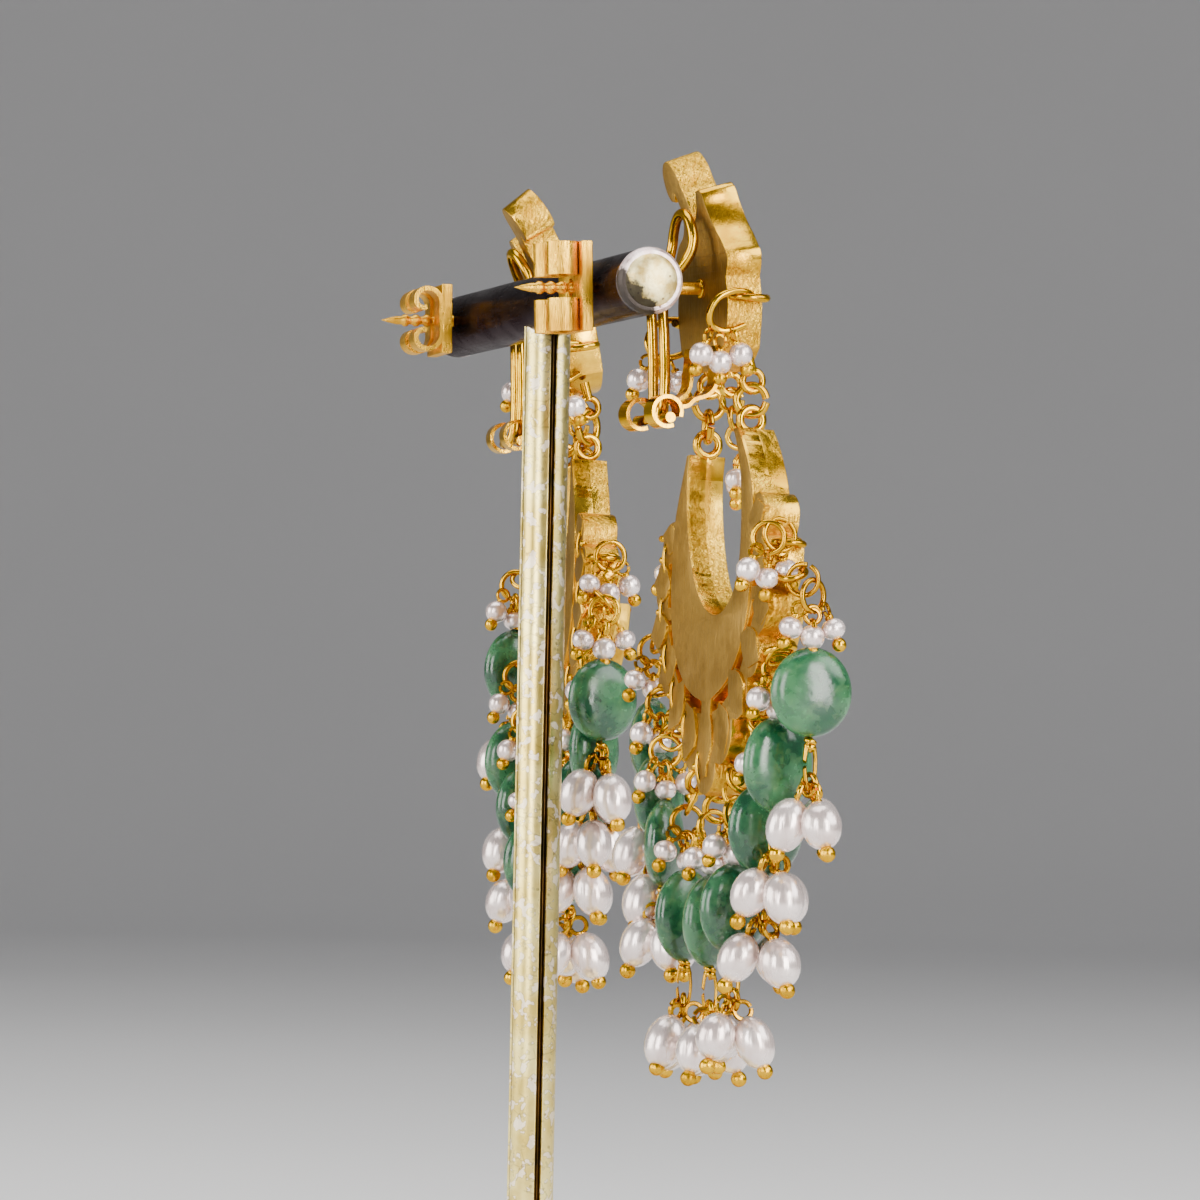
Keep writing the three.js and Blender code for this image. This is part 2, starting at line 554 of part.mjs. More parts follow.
function greenBead(earring, index, row) {
  const { half, height, thickness } = GREEN;
  const profile = [[0, -thickness / 2], [half * 0.66, -thickness * 0.43], [half, 0],
    [half * 0.66, thickness * 0.43], [0, thickness / 2]].map(([r, y]) => new THREE.Vector2(r, y));
  const lens = new THREE.LatheGeometry(profile, 7);
  lens.scale(1, 1, height / (2 * half));
  lens.rotateZ(row.bead * DEGREE);
  const centre = stringPlace(earring, row, STRING.green);
  lens.translate(centre.x, centre.y, centre.z);
  return meshOf(`${earring.name}_green_bead_${index}`, solidOf(lens), emerald);
}

function pearlCluster(earring, index, row) {
  const knot = stringPlace(earring, row, STRING.pearls[earring.name]);
  const underBead = stringPlace(earring, row, STRING.green + GREEN.height / 2 + 0.3);
  const stemFoot = knot.clone().setZ(knot.z - 0.3);
  const parts = [rod(stemFoot, underBead, 0.35, 4), ...tuft(knot, RICE, 3, row.pearls)];
  return meshOf(`${earring.name}_pearl_cluster_${index}`, joined(parts), pearl);
}

function makeEarring(earring) {
  const { side, yaw, pitch, front } = earring;
  const group = new THREE.Group();
  group.position.set(side * POST_SPACING / 2, 0, STAND.barHeight);
  group.rotation.set(pitch * DEGREE, 0, yaw * DEGREE, 'ZXY');
  group.add(stud(earring), earNut(earring), omegaClip(earring));
  const hanging = new THREE.Group();
  hanging.position.copy(at(side, 0, front, LINK.eyeZ));
  hanging.rotation.x = -pitch * DEGREE;
  hanging.add(sideLink(earring, 1), sideLink(earring, -1), centreDrop(earring), crescent(earring));
  STRINGS.forEach((row, i) => {
    hanging.add(greenBead(earring, i + 1, row), pearlCluster(earring, i + 1, row));
  });
  group.add(hanging);
  return group;
}

const model = new THREE.Group();
model.add(standBase(), standPole(), standBar(), barCap(-1), barCap(1));
for (const earring of EARRINGS) {
  model.add(makeEarring(earring));
}

export default model;
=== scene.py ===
import math
import random
from collections import namedtuple

import bmesh
import bpy
from mathutils import Matrix, Vector


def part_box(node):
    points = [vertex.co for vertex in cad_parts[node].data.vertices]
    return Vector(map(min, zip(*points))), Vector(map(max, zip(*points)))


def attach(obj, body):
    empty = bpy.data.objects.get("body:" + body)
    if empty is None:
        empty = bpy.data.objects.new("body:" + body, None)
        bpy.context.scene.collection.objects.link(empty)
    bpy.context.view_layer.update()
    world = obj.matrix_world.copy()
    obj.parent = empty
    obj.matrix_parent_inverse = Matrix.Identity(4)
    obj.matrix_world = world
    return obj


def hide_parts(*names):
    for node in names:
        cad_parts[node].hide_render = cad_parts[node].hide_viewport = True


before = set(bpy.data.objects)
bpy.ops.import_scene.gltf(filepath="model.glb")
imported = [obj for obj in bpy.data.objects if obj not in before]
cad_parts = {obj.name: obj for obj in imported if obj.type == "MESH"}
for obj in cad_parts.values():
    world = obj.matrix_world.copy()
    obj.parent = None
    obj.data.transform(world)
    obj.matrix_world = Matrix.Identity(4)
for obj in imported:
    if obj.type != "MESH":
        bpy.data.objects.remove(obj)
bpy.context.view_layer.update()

MM = 0.001
UP = Vector((0, 0, 1))
BAR_LOW, BAR_HIGH = (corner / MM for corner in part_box("stand_bar"))
BAR_Z = (BAR_LOW.z + BAR_HIGH.z) / 2
BAR_RADIUS = (BAR_HIGH.z - BAR_LOW.z) / 2
POST_SPACING = 48


# ---------------- camera

CAMERA = {
    "azimuth": 255.6, "pitch": 1.2, "roll": 1.16, "lens": 197.1,
    "place": (-0.53645, 0.13271, 0.06371),
}


def new_object(name, data):
    thing = bpy.data.objects.new(name, data)
    bpy.context.scene.collection.objects.link(thing)
    return thing


def add_camera(azimuth, pitch, roll, lens, place):
    """A camera that looks along the azimuth (0 along +Y, 90 along -X), raised and rolled in degrees."""
    a, p, r = (math.radians(angle) for angle in (azimuth, pitch, roll))
    level = Vector((math.cos(a), math.sin(a), 0))
    ahead = Vector((-math.sin(a) * math.cos(p), math.cos(a) * math.cos(p), math.sin(p)))
    above = level.cross(ahead)
    right = level * math.cos(r) + above * math.sin(r)
    top = above * math.cos(r) - level * math.sin(r)
    camera = new_object("camera", bpy.data.cameras.new("camera"))
    camera.data.lens = lens
    camera.data.sensor_width = 36
    camera.data.clip_start = 0.01
    turn = Matrix((right, top, -ahead)).transposed().to_4x4()
    camera.matrix_world = Matrix.Translation(place) @ turn
    bpy.context.scene.camera = camera


add_camera(**CAMERA)


# ---------------- shader graphs

class Value:
    """A number in a material's graph; arithmetic on it adds the nodes."""

    def __init__(self, graph, socket):
        self.graph = graph
        self.socket = socket

    def maths(self, operation, *values):
        node = self.graph.node("ShaderNodeMath", {"operation": operation}, dict(enumerate(values)))
        return Value(self.graph, node.outputs[0])

    def __add__(self, other):
        return self.maths("ADD", self, other)

    def __sub__(self, other):
        return self.maths("SUBTRACT", self, other)

    def __mul__(self, other):
        return self.maths("MULTIPLY", self, other)

    def __rsub__(self, other):
        return self.maths("SUBTRACT", other, self)

    __radd__ = __add__
    __rmul__ = __mul__

    def at_most(self, limit):
        return self.maths("MINIMUM", self, limit)

    def step(self, low, high):
        """Nought below low, one above high, smooth between them; low may be the greater."""
        node = self.graph.node("ShaderNodeMapRange", {"interpolation_type": "SMOOTHSTEP"},
                               {"Value": self, "From Min": low, "From Max": high})
        return Value(self.graph, node.outputs[0])


class Graph:
    """A material's node tree, read on Object coordinates in millimetres."""

    def __init__(self, name):
        self.material = bpy.data.materials.new(name)
        self.material.use_nodes = True
        self.tree = self.material.node_tree
        self.tree.nodes.clear()
        place = self.node("ShaderNodeTexCoord").outputs["Object"]
        self.place = self.node("ShaderNodeVectorMath", {"operation": "SCALE"},
                               {0: place, "Scale": 1 / MM}).outputs[0]

    def node(self, kind, settings=None, inputs=None):
        """Adds a node: its settings first, then the values or links of its sockets."""
        node = self.tree.nodes.new(kind)
        for name, setting in (settings or {}).items():
            setattr(node, name, setting)
        for name, given in (inputs or {}).items():
            socket = node.inputs[name]
            if isinstance(given, Value):
                self.tree.links.new(given.socket, socket)
            elif isinstance(given, bpy.types.NodeSocket):
                self.tree.links.new(given, socket)
            else:
                socket.default_value = given
        return node

    def stretched(self, scale):
        """The place scaled unevenly, for marks that run one way."""
        return self.node("ShaderNodeMapping", {"vector_type": "POINT"},
                         {"Vector": self.place, "Scale": scale}).outputs[0]

    def noise(self, scale, detail=2.0, roughness=0.5, place=None, distortion=0.0):
        node = self.node("ShaderNodeTexNoise", None, {
            "Vector": place or self.place, "Scale": scale, "Detail": detail,
            "Roughness": roughness, "Distortion": distortion})
        return Value(self, node.outputs[0])

    def cells(self, scale, feature="F1"):
        node = self.node("ShaderNodeTexVoronoi", {"feature": feature},
                         {"Vector": self.place, "Scale": scale})
        return Value(self, node.outputs[0])

    def mix(self, factor, first, second):
        node = self.node("ShaderNodeMix", {"data_type": "RGBA"}, {0: factor, 6: first, 7: second})
        return node.outputs[2]

    def shade(self, values, bumps=()):
        """Principled surface; each bump is (height, strength, distance in mm)."""
        inputs = dict(values)
        normal = None
        for height, strength, distance in bumps:
            given = {"Height": height, "Strength": strength, "Distance": distance * MM}
            if normal is not None:
                given["Normal"] = normal
            normal = self.node("ShaderNodeBump", None, given).outputs[0]
        if normal is not None:
            inputs["Normal"] = normal
        surface = self.node("ShaderNodeBsdfPrincipled", None, inputs)
        self.node("ShaderNodeOutputMaterial", None, {"Surface": surface.outputs[0]})
        return self.material


def metal(name, dark, light, roughness, hammer=0.0, brush=0.0, speck=0.0,
          brush_way=(6, 6, 0.6), edge=(1.0, 0.9, 0.7)):
    """Worn metal: blotches of two colours, a crinkled grain in patches with painted shade in its dents,
    brushed lines, dark specks.
    """
    graph = Graph(name)
    blotch = graph.noise(0.22, 4.0, 0.6).step(0.36, 0.64)
    grain = graph.noise(2.4, 3.0, 0.7)
    lines = graph.noise(1.0, 3.0, 0.65, graph.stretched(brush_way))
    speckle = graph.cells(1.5).step(0.17, 0.06) * graph.noise(0.6, 1.0).step(0.5, 0.6)
    tone = (blotch * 0.6 + lines * (0.5 if brush else 0.1) + grain * 0.2 - 0.08).at_most(1.0)
    colour = graph.mix(tone, (*dark, 1), (*light, 1))
    if speck:
        colour = graph.mix(speckle * speck, colour, (dark[0] * 0.3, dark[1] * 0.22, dark[2] * 0.2, 1))
    rough = blotch * -0.08 + grain * 0.14 + lines * (0.2 if brush else 0.05) + (roughness - 0.08)
    bumps = [(grain, 0.3, 0.05), (lines, 0.5 * brush + 0.02, 0.1)]
    if hammer:
        crinkled_patches = graph.noise(0.17, 2.0).step(0.4, 0.56)
        crinkle = graph.noise(2.6, 3.0, 0.6, graph.stretched((1.25, 1.25, 0.6)), 0.8)
        rough = rough + crinkled_patches * (0.1 * hammer)
        # painted shade: a reddish darker gold in the low dents of the crinkled grain
        colour = graph.mix(crinkled_patches * crinkle.step(0.52, 0.36) * (0.55 * hammer), colour,
                           (dark[0] * 0.8, dark[1] * 0.62, dark[2] * 0.4, 1))
        dents = graph.noise(0.5, 2.0, 0.4)
        bumps[:0] = [(dents, 0.15 * hammer, 0.3), (crinkle * crinkled_patches, 0.8 * hammer, 0.26)]
    values = {"Base Color": colour, "Roughness": rough, "Metallic": 1.0, "Specular Tint": (*edge, 1)}
    return graph.shade(values, bumps)


def pole_finish(name, dark, light, wear=1.0):
    """Old plated brass: bright, with fine veined pits and pinkish bare patches, as many as its wear."""
    graph = Graph(name)
    cloud = graph.noise(0.3, 3.0, 0.6)
    blot = graph.noise(1.2, 2.0, 0.5)
    bare = blot.step(0.56, 0.58)
    vein = blot.step(0.52, 0.54) * blot.step(0.585, 0.57)
    thread = graph.cells(0.75, "DISTANCE_TO_EDGE").step(0.06, 0.02) * graph.noise(0.4, 2.0).step(0.5, 0.56)
    pit = graph.cells(1.4).step(0.26, 0.14) * graph.noise(0.5, 2.0).step(0.48, 0.56)
    marks = (vein * 0.32 + thread * 0.3 + pit * 0.5).at_most(0.7) * wear
    colour = graph.mix(cloud.step(0.3, 0.7), (*dark, 1), (*light, 1))
    colour = graph.mix(bare * (0.6 * wear), colour, (0.98, 0.86, 0.8, 1))
    colour = graph.mix(marks, colour, (0.18, 0.11, 0.03, 1))
    rough = cloud * 0.1 + bare * 0.12 + 0.26
    return graph.shade({"Base Color": colour, "Roughness": rough, "Metallic": 1.0},
                       [(marks, -0.4, 0.06)])


def cap_finish(name, dark, light):
    """Worn plating, pitted, with a painted shadow: a near-black crescent low on the side away from the
    fronts.
    """
    graph = Graph(name)
    parts = graph.node("ShaderNodeSeparateXYZ", None, {0: graph.place}).outputs
    low = Value(graph, parts[1]) * 0.72 - (Value(graph, parts[2]) - BAR_Z) * 0.69
    mottle = graph.noise(0.9, 4.0, 0.65)
    # painted shadow: near black low down on the side away from the fronts, its edge broken by the mottle
    painted_shadow = (low + mottle * 2.4).step(2.1, 2.6)
    pits = graph.cells(1.6).step(0.22, 0.1) * graph.noise(0.8, 2.0).step(0.45, 0.58)
    colour = graph.mix(mottle.step(0.3, 0.65), (*dark, 1), (*light, 1))
    colour = graph.mix(pits * 0.85, colour, (0.1, 0.04, 0.01, 1))
    colour = graph.mix(painted_shadow * 0.97, colour, (0.02, 0.016, 0.012, 1))
    return graph.shade({"Base Color": colour, "Roughness": mottle * 0.25 + 0.32, "Metallic": 0.85},
                       [(mottle, 0.4, 0.2), (pits, 0.3, 0.08)])


def pearl_finish(name, warmth):
    """Imitation pearl: a soft metallic lustre under a clear coat."""
    graph = Graph(name)
    cloud = graph.noise(0.5, 2.0, 0.5).step(0.3, 0.72)
    ridge = graph.noise(1.3, 2.0, 0.5, graph.stretched((1.6, 1.6, 0.22)))
    colour = graph.mix(cloud, (0.88, 0.77, 0.73, 1), (0.7 + warmth, 0.57, 0.53, 1))
    return graph.shade({
        "Base Color": colour, "Roughness": ridge * 0.1 + 0.21, "Metallic": 0.7, "Coat Weight": 0.5,
        "Coat Roughness": 0.08, "Coat IOR": 1.6, "Sheen Weight": 0.1, "Sheen Roughness": 0.4,
        "Sheen Tint": (1.0, 0.82, 0.84, 1)}, [(ridge, 0.4, 0.14)])


def stone_finish(name):
    """Cloudy green stone that lets light into its rims."""
    graph = Graph(name)
    cloud = graph.noise(0.34, 4.0, 0.6).step(0.38, 0.66)
    milk = graph.noise(0.8, 4.0, 0.7, distortion=0.4).step(0.5, 0.72)
    fleck = graph.cells(0.8).step(0.2, 0.05) * graph.noise(0.35, 1.0).step(0.48, 0.56)
    body = graph.mix(cloud, (0.006, 0.09, 0.036, 1), (0.065, 0.25, 0.1, 1))
    body = graph.mix(milk * 0.45, body, (0.17, 0.34, 0.13, 1))
    body = graph.mix(fleck * 0.7, body, (0.006, 0.03, 0.015, 1))
    return graph.shade({
        "Base Color": body, "Roughness": cloud * 0.12 + 0.18, "Metallic": 0.0, "IOR": 1.52,
        "Transmission Weight": 0.5, "Coat Weight": 0.12, "Coat Roughness": 0.1, "Subsurface Weight": 0.4,
        "Subsurface Scale": 2.0 * MM, "Subsurface Radius": (0.35, 1.0, 0.5)},
        [(graph.noise(0.6, 3.0), 0.3, 0.2)])


FINISH = {
    "wall": metal("gold_hammered_wall", (0.5, 0.25, 0.006), (0.97, 0.6, 0.05), 0.24, hammer=1.0,
                  speck=0.5),
    "inner": metal("gold_scratched_wall", (0.48, 0.24, 0.006), (1.0, 0.64, 0.06), 0.22, hammer=1.0,
                   brush=0.4, brush_way=(3.5, 3.5, 0.5)),
    # the backs: brushed lines of their own, in a darker gold that is painted shade on the faces towards +y
    "back": metal("gold_brushed_back_painted_shade", (0.14, 0.072, 0.012), (0.38, 0.225, 0.048), 0.4, brush=1.3,
                  speck=0.5, brush_way=(4, 4, 0.4)),
    "cell": metal("gold_deep_cell", (0.6, 0.27, 0.005), (1.0, 0.6, 0.03), 0.3, hammer=0.3),
    "front": metal("gold_front", (0.5, 0.26, 0.01), (0.92, 0.58, 0.06), 0.3, hammer=0.3, brush=0.3),
    "wire": metal("gold_wire", (0.4, 0.19, 0.003), (0.86, 0.51, 0.015), 0.2, edge=(1.0, 0.82, 0.45)),
    "ball": metal("gold_ball", (0.5, 0.26, 0.003), (0.86, 0.5, 0.008), 0.26, hammer=0.3,
                  edge=(1.0, 0.8, 0.4)),
    "nut": metal("brass_nut", (0.42, 0.18, 0.005), (0.92, 0.53, 0.035), 0.26, brush=1.3,
                 brush_way=(5, 5, 0.3), edge=(1.0, 0.82, 0.5)),
    "pole": pole_finish("brass_pole", (0.66, 0.48, 0.1), (1.0, 0.86, 0.33)),
    "base": pole_finish("brass_base", (0.62, 0.44, 0.1), (0.95, 0.8, 0.32), 0.4),
    "groove": metal("brass_groove", (0.03, 0.025, 0.008), (0.22, 0.11, 0.03), 0.4, speck=0.6,
                    brush_way=(4, 4, 0.3)),
    "bar": metal("dark_bar", (0.032, 0.03, 0.034), (0.14, 0.125, 0.13), 0.2, brush=0.3, speck=0.4,
                 brush_way=(0.3, 4, 4), edge=(0.3, 0.28, 0.28)),
    "rim": cap_finish("cap_rim", (0.6, 0.42, 0.4), (0.93, 0.79, 0.75)),
    "cap": cap_finish("cap_centre", (0.62, 0.42, 0.1), (0.98, 0.84, 0.42)),
    "rice": pearl_finish("rice_pearl", 0.0),
    "seed": pearl_finish("seed_pearl", 0.02),
    "stone": stone_finish("green_stone"),
    "thread": metal("drilled_line", (0.16, 0.2, 0.1), (0.3, 0.36, 0.2), 0.6),
}
ORDER = list(FINISH)


# ---------------- shapes, in millimetres

def turned_by(degrees, axis):
    return Matrix.Rotation(math.radians(degrees), 4, axis)


def moved_to(place):
    return Matrix.Translation(place)


def polar(radius, degrees):
    return radius * math.cos(math.radians(degrees)), radius * math.sin(math.radians(degrees))


def mesh_from(bm, name="template"):
    mesh = bpy.data.meshes.new(name)
    bm.to_mesh(mesh)
    bm.free()
    return mesh


def mesh_of(bm, finish, sharp):
    """A finished template: one finish, smooth but for edges sharper than the angle."""
    bmesh.ops.recalc_face_normals(bm, faces=bm.faces)
    for face in bm.faces:
        face.smooth = True
        face.material_index = ORDER.index(finish)
    mesh = mesh_from(bm)
    mesh.set_sharp_from_angle(angle=math.radians(sharp))
    return mesh


def ball(radius, finish, across=16, rings=10, stretch=(1, 1, 1)):
    bm = bmesh.new()
    bmesh.ops.create_uvsphere(bm, u_segments=across, v_segments=rings, radius=radius)
    bmesh.ops.scale(bm, vec=stretch, verts=bm.verts)
    return mesh_of(bm, finish, 80)


def new_curve(dimensions, steps):
    curve = bpy.data.curves.new("template", "CURVE")
    curve.dimensions = dimensions
    curve.resolution_u = steps
    return curve


def curve_shape(curve):
    """Turns a curve into a bmesh and removes the curve."""
    holder = bpy.data.objects.new("template", curve)
    mesh = bpy.data.meshes.new_from_object(holder)
    bpy.data.objects.remove(holder)
    bpy.data.curves.remove(curve)
    bm = bmesh.new()
    bm.from_mesh(mesh)
    bpy.data.meshes.remove(mesh)
    return bm


def from_curve(curve, finish, sharp):
    bm = curve_shape(curve)
    bmesh.ops.remove_doubles(bm, verts=bm.verts, dist=0.002)
    return mesh_of(bm, finish, sharp)


def bezier(curve, points, closed):
    """A smooth spline through the points; one with a fourth number is a corner."""
    spline = curve.splines.new("BEZIER")
    spline.bezier_points.add(len(points) - 1)
    spline.use_cyclic_u = closed
    for knot, (x, y, z, *corner) in zip(spline.bezier_points, points):
        knot.co = (x, y, z)
        knot.handle_left_type = knot.handle_right_type = "VECTOR" if corner else "AUTO"


def wire(points, radius, finish="wire", sides=8, steps=4):
    """A round wire along the points."""
    curve = new_curve("3D", steps)
    curve.bevel_depth = radius
    curve.bevel_resolution = (sides - 4) // 2
    curve.use_fill_caps = True
    bezier(curve, points, False)
    return from_curve(curve, finish, 60)


def circle(radius, start=0.0, end=360.0, count=9, lift=0.0):
    """Points round the Z axis, rising by lift over the whole of the arc."""
    parts = [i / (count - 1) for i in range(count)]
    return [(*polar(radius, start + (end - start) * part), lift * part) for part in parts]


def jump_ring(radius, thick, gap=14.0, sides=8):
    """An open ring round the Z axis, its ends nearly touching."""
    return wire(circle(radius, gap / 2, 360 - gap / 2, 13), thick, sides=sides, steps=2)


def slab(outlines, low, high, soften, finish="wall", steps=6, sharp=35):
    """Flat outlines in x and z as a plate with rounded edges, between two places along y."""
    curve = new_curve("2D", steps)
    curve.fill_mode = "BOTH"
    curve.extrude = (high - low) / 2 - soften
    curve.bevel_depth = soften
    curve.bevel_resolution = 1
    curve.offset = -soften
    for outline in outlines:
        bezier(curve, [(x, z, 0, *corner) for x, z, *corner in outline], True)
    mesh = from_curve(curve, finish, sharp)
    mesh.transform(moved_to((0, (low + high) / 2, 0)) @ turned_by(90, "X"))
    return mesh


# the least part of a flat face's normal that lies along y
FLAT = 0.9


def face_finish(mesh):
    """Gives a plate's flat faces their own finishes: towards +y the back, whose darker gold is painted shade,
    towards -y the front.
    """
    for polygon in mesh.polygons:
        if polygon.normal.y > FLAT:
            polygon.material_index = ORDER.index("back")
        if polygon.normal.y < -FLAT:
            polygon.material_index = ORDER.index("front")
    return mesh


def pointing(place, direction):
    """Puts a template that hangs down from its origin at a place, along a direction."""
    turn = Vector(direction).to_track_quat("-Z", "Y").to_matrix().to_4x4()
    return moved_to(place) @ turn


class Shape:
    """One piece being put together from templates."""

    def __init__(self):
        self.bm = bmesh.new()

    def stamp(self, mesh, matrix=Matrix()):
        first = len(self.bm.verts)
        self.bm.from_mesh(mesh)
        self.bm.verts.ensure_lookup_table()
        bmesh.ops.transform(self.bm, matrix=matrix, verts=self.bm.verts[first:])
        return self

    def finish(self, name, body, slot, replaces, place=Matrix()):
        """Links the piece, in metres, riding on its body."""
        bmesh.ops.transform(self.bm, matrix=Matrix.Scale(MM, 4) @ place, verts=self.bm.verts)
        bmesh.ops.recalc_face_normals(self.bm, faces=self.bm.faces)
        used = sorted({face.material_index for face in self.bm.faces})
        for face in self.bm.faces:
            face.material_index = used.index(face.material_index)
        mesh = mesh_from(self.bm, name)
        for index in used:
            mesh.materials.append(FINISH[ORDER[index]])
        piece = new_object(name, mesh)
        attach(piece, body)
        if replaces:
            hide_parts(*replaces)


# ---------------- where things are

# tilt and curl are of the stud's plate; front and plate_back are places in front of the bar, of the
# pendant's rings and of its back; low_ring is how much lower its ring towards the pole is; pearl_rise is
# the share of a string's own rise that its pearls take, pearl_depth their depth below the string's top
EARRINGS = {
    "left": {
        "side": -1, "yaw": 4.7, "pitch": -2, "tilt": 0, "curl": 0.016, "clip_slope": 0,
        "front": 8.545, "plate_back": 8.0, "roll": 4.4, "lean": 2.5, "skew": 0, "lift": 0,
        "low_ring": 0.9, "nut_turn": 0, "bead_turn": 0, "pearl_rise": 1, "pearl_depth": 15.9,
    },
    "right": {
        "side": 1, "yaw": -2.7, "pitch": -1, "tilt": 12, "curl": 0.024, "clip_slope": 0.45,
        "front": 7.64, "plate_back": 7.2, "roll": 5, "lean": 2.5, "skew": 0.05, "lift": 0.3,
        "low_ring": 0.4, "nut_turn": 90, "bead_turn": 22, "pearl_rise": 0, "pearl_depth": 13.6,
    },
}

STUD = {"back": 7.05, "depth": 3, "hinge_z": -6}
LINK = {"eye": 0.85, "eye_wire": 0.3, "eye_z": -6.0, "low_eye": -7.7, "centre_z": -7.4, "ahead": 0.9}
CHAIN = {"radius": 1.2, "wire": 0.32}
DROP = {"radius": 0.9, "wire": 0.24, "long": 5.6, "ahead": 1.8}
PENDANT = {"drop": -5.2, "depth": 3, "horn": 5.0, "ring": 0.95, "wire": 0.35, "middle": 1.0}
RING = {"depth": 0.9, "radius": 1.25, "wire": 0.23}
BEAD = {"half": 3.3, "height": 7.5, "thickness": 2.7, "depth": 8.5}

# place across; height of the string's top and its place in front, for the left and the right earring;
# turn of the bead and of the pearls; height of the bead; the left earring's own rise of its pearls
String = namedtuple("String", "across left right bead_turn pearl_turn height rise", defaults=(0,) * 4)
STRINGS = [
    String(-15.1, (-28.4, 8.7), (-22.0, 6.3), 142, 90, 7.3, 1.2),
    String(-11.2, (-32.8, 8.0), (-30.2, 6.0), 136, 90, 7.3, 1.9),
    String(-8.0, (-36.7, 7.4), (-34.2, 6.2), 145, 30, 7.3, 2.0),
    String(-3.4, (-42.4, 7.7), (-38.9, 6.5), 122, 90, 7.6),
    String(2.4, (-42.7, 7.8), (-39.5, 6.7), 128, 90, 7.6),
    String(8.0, (-41.5, 7.7), (-38.7, 7.1), 106, 90, 7.4),
    String(11.3, (-35.1, 9.0), (-33.2, 7.4), 100, 15, 7.6),
    String(14.0, (-30.0, 8.9), (-29.0, 7.8), 112, 270, 7.8),
    String(17.2, (-24.2, 10.4), (-24.7, 7.8), 82, 15, 7.1),
]
BUNCHES = [
    String(-13.9, (-19.6, 11.0), (-19.6, 9.6)),
    String(15.8, (-19.7, 7.1), (-20.0, 8.5)),
]


class Earring:
    """One earring's frames: u away from the pole, n to the front, z up, from where the post meets the bar."""

    def __init__(self, name, facts):
        self.name = name
        self.__dict__.update(facts)
        post = moved_to((self.side * POST_SPACING / 2, 0, BAR_Z))
        self.fixed = post @ turned_by(self.yaw, "Z") @ turned_by(self.pitch, "X")
        self.plumb = (self.fixed @ moved_to(self.at(0, self.front, LINK["eye_z"]))
                      @ turned_by(-self.pitch, "X"))
        # the crescent's own flat frame, its origin midway between its rings
        self.flat = (moved_to((0, 0, PENDANT["drop"])) @ turned_by(self.lean, "X")
                     @ turned_by(self.roll, "Y"))

    def at(self, u, n, z):
        return Vector((self.side * u, -n, z))

    def on_string(self, row, depth):
        """A place on a string, at a depth below its top, in the plumb frame."""
        top, n = getattr(row, self.name)
        return Vector((-row.across, self.front - n, top - LINK["eye_z"] - depth))

    def add(self, shape, piece, body, slot, place, node=None):
        """Finishes a piece of this earring on a body; it stands for a node where one is named."""
        own_body = body if body == "stand" else f"{self.name}_{body}"
        nodes = [f"{self.name}_{node}"] if node else []
        shape.finish(f"{self.name}_{piece}", own_body, slot, nodes, place)

    def horn(self, way):
        """The middle of one of the pendant's two rings."""
        place = self.at(way * PENDANT["horn"], 0, -self.low_ring if way < 0 else 0)
        return self.flat @ place + self.at(0, LINK["ahead"], 0)

    def pattern(self, line):
        """The crescent's pattern as it lies in this earring's own pendant."""
        return [(self.side * (u + self.skew * z), z + self.lift, *rest) for u, z, *rest in line]


# ---------------- small parts, hanging from the origin

SEED = {"radius": 0.97, "reach": 1.95, "ball": 0.58, "below": 1.32}
RICE = {"radius": 1.64, "reach": 3.2, "ball": 0.66, "below": 2.4}


def coil(radius, thick, turns, top, bottom):
    line = circle(radius, 0, 360 * turns, int(8 * turns) + 1, bottom - top)
    return wire([(x, y, z + top) for x, y, z in line], thick, sides=6, steps=2)


def pin_metal(kind, eye, thick, neck):
    """A pin's own metal: an eye, a wrapped neck above the pearl, and the ball under it."""
    shape = Shape()
    shape.stamp(jump_ring(eye, thick, sides=6),
                moved_to((0, 0, -eye * 0.6)) @ turned_by(90, "X"))
    shape.stamp(coil(thick * 1.5, thick * 0.9, 2.0, -eye * 1.6, -neck))
    end = -(kind["reach"] + kind["below"])
    shape.stamp(ball(kind["ball"], "ball", 12, 8), moved_to((0, 0, end)))
    return mesh_from(shape.bm)


def pearl_of(kind, finish, stretch):
    mesh = ball(kind["radius"], finish, 18, 12, (1, 1, stretch))
    mesh.transform(moved_to((0, 0, -kind["reach"])))
    return mesh


SEED_METAL = pin_metal(SEED, 0.55, 0.15, 1.1)
RICE_METAL = pin_metal(RICE, 0.72, 0.2, 1.4)
SEED_PEARLS = [pearl_of(SEED, "seed", 0.88), pearl_of(SEED, "seed", 1.0)]
RICE_PEARLS = [pearl_of(RICE, "rice", stretch) for stretch in (1.22, 1.3, 1.36)]


def hang(metal, pearls, place, direction, rng, pin=SEED_METAL, kinds=SEED_PEARLS):
    """One pin with its pearl, a little larger or smaller than the next."""
    matrix = pointing(place, direction) @ Matrix.Rotation(rng.uniform(0, math.tau), 4, "Z")
    metal.stamp(pin, matrix)
    pearls.stamp(rng.choice(kinds), matrix @ Matrix.Scale(rng.uniform(0.96, 1.04), 4))


def seed_row(metal, pearls, centre, radius, rng, turn, spread):
    """Three seed pearls in a row, their eyes spread along the lower part of a ring."""
    across = turned_by(turn, "Z") @ Vector((0, -1, 0))
    for way in (-1, 0, 1):
        angle = math.radians(way * (spread + rng.uniform(-5, 5)))
        tilt = angle * 0.42
        place = centre + across * math.sin(angle) * radius - UP * math.cos(angle) * radius
        sideways = across.cross(UP) * rng.uniform(-0.1, 0.1)
        hang(metal, pearls, place, across * math.sin(tilt) - UP * math.cos(tilt) + sideways, rng)


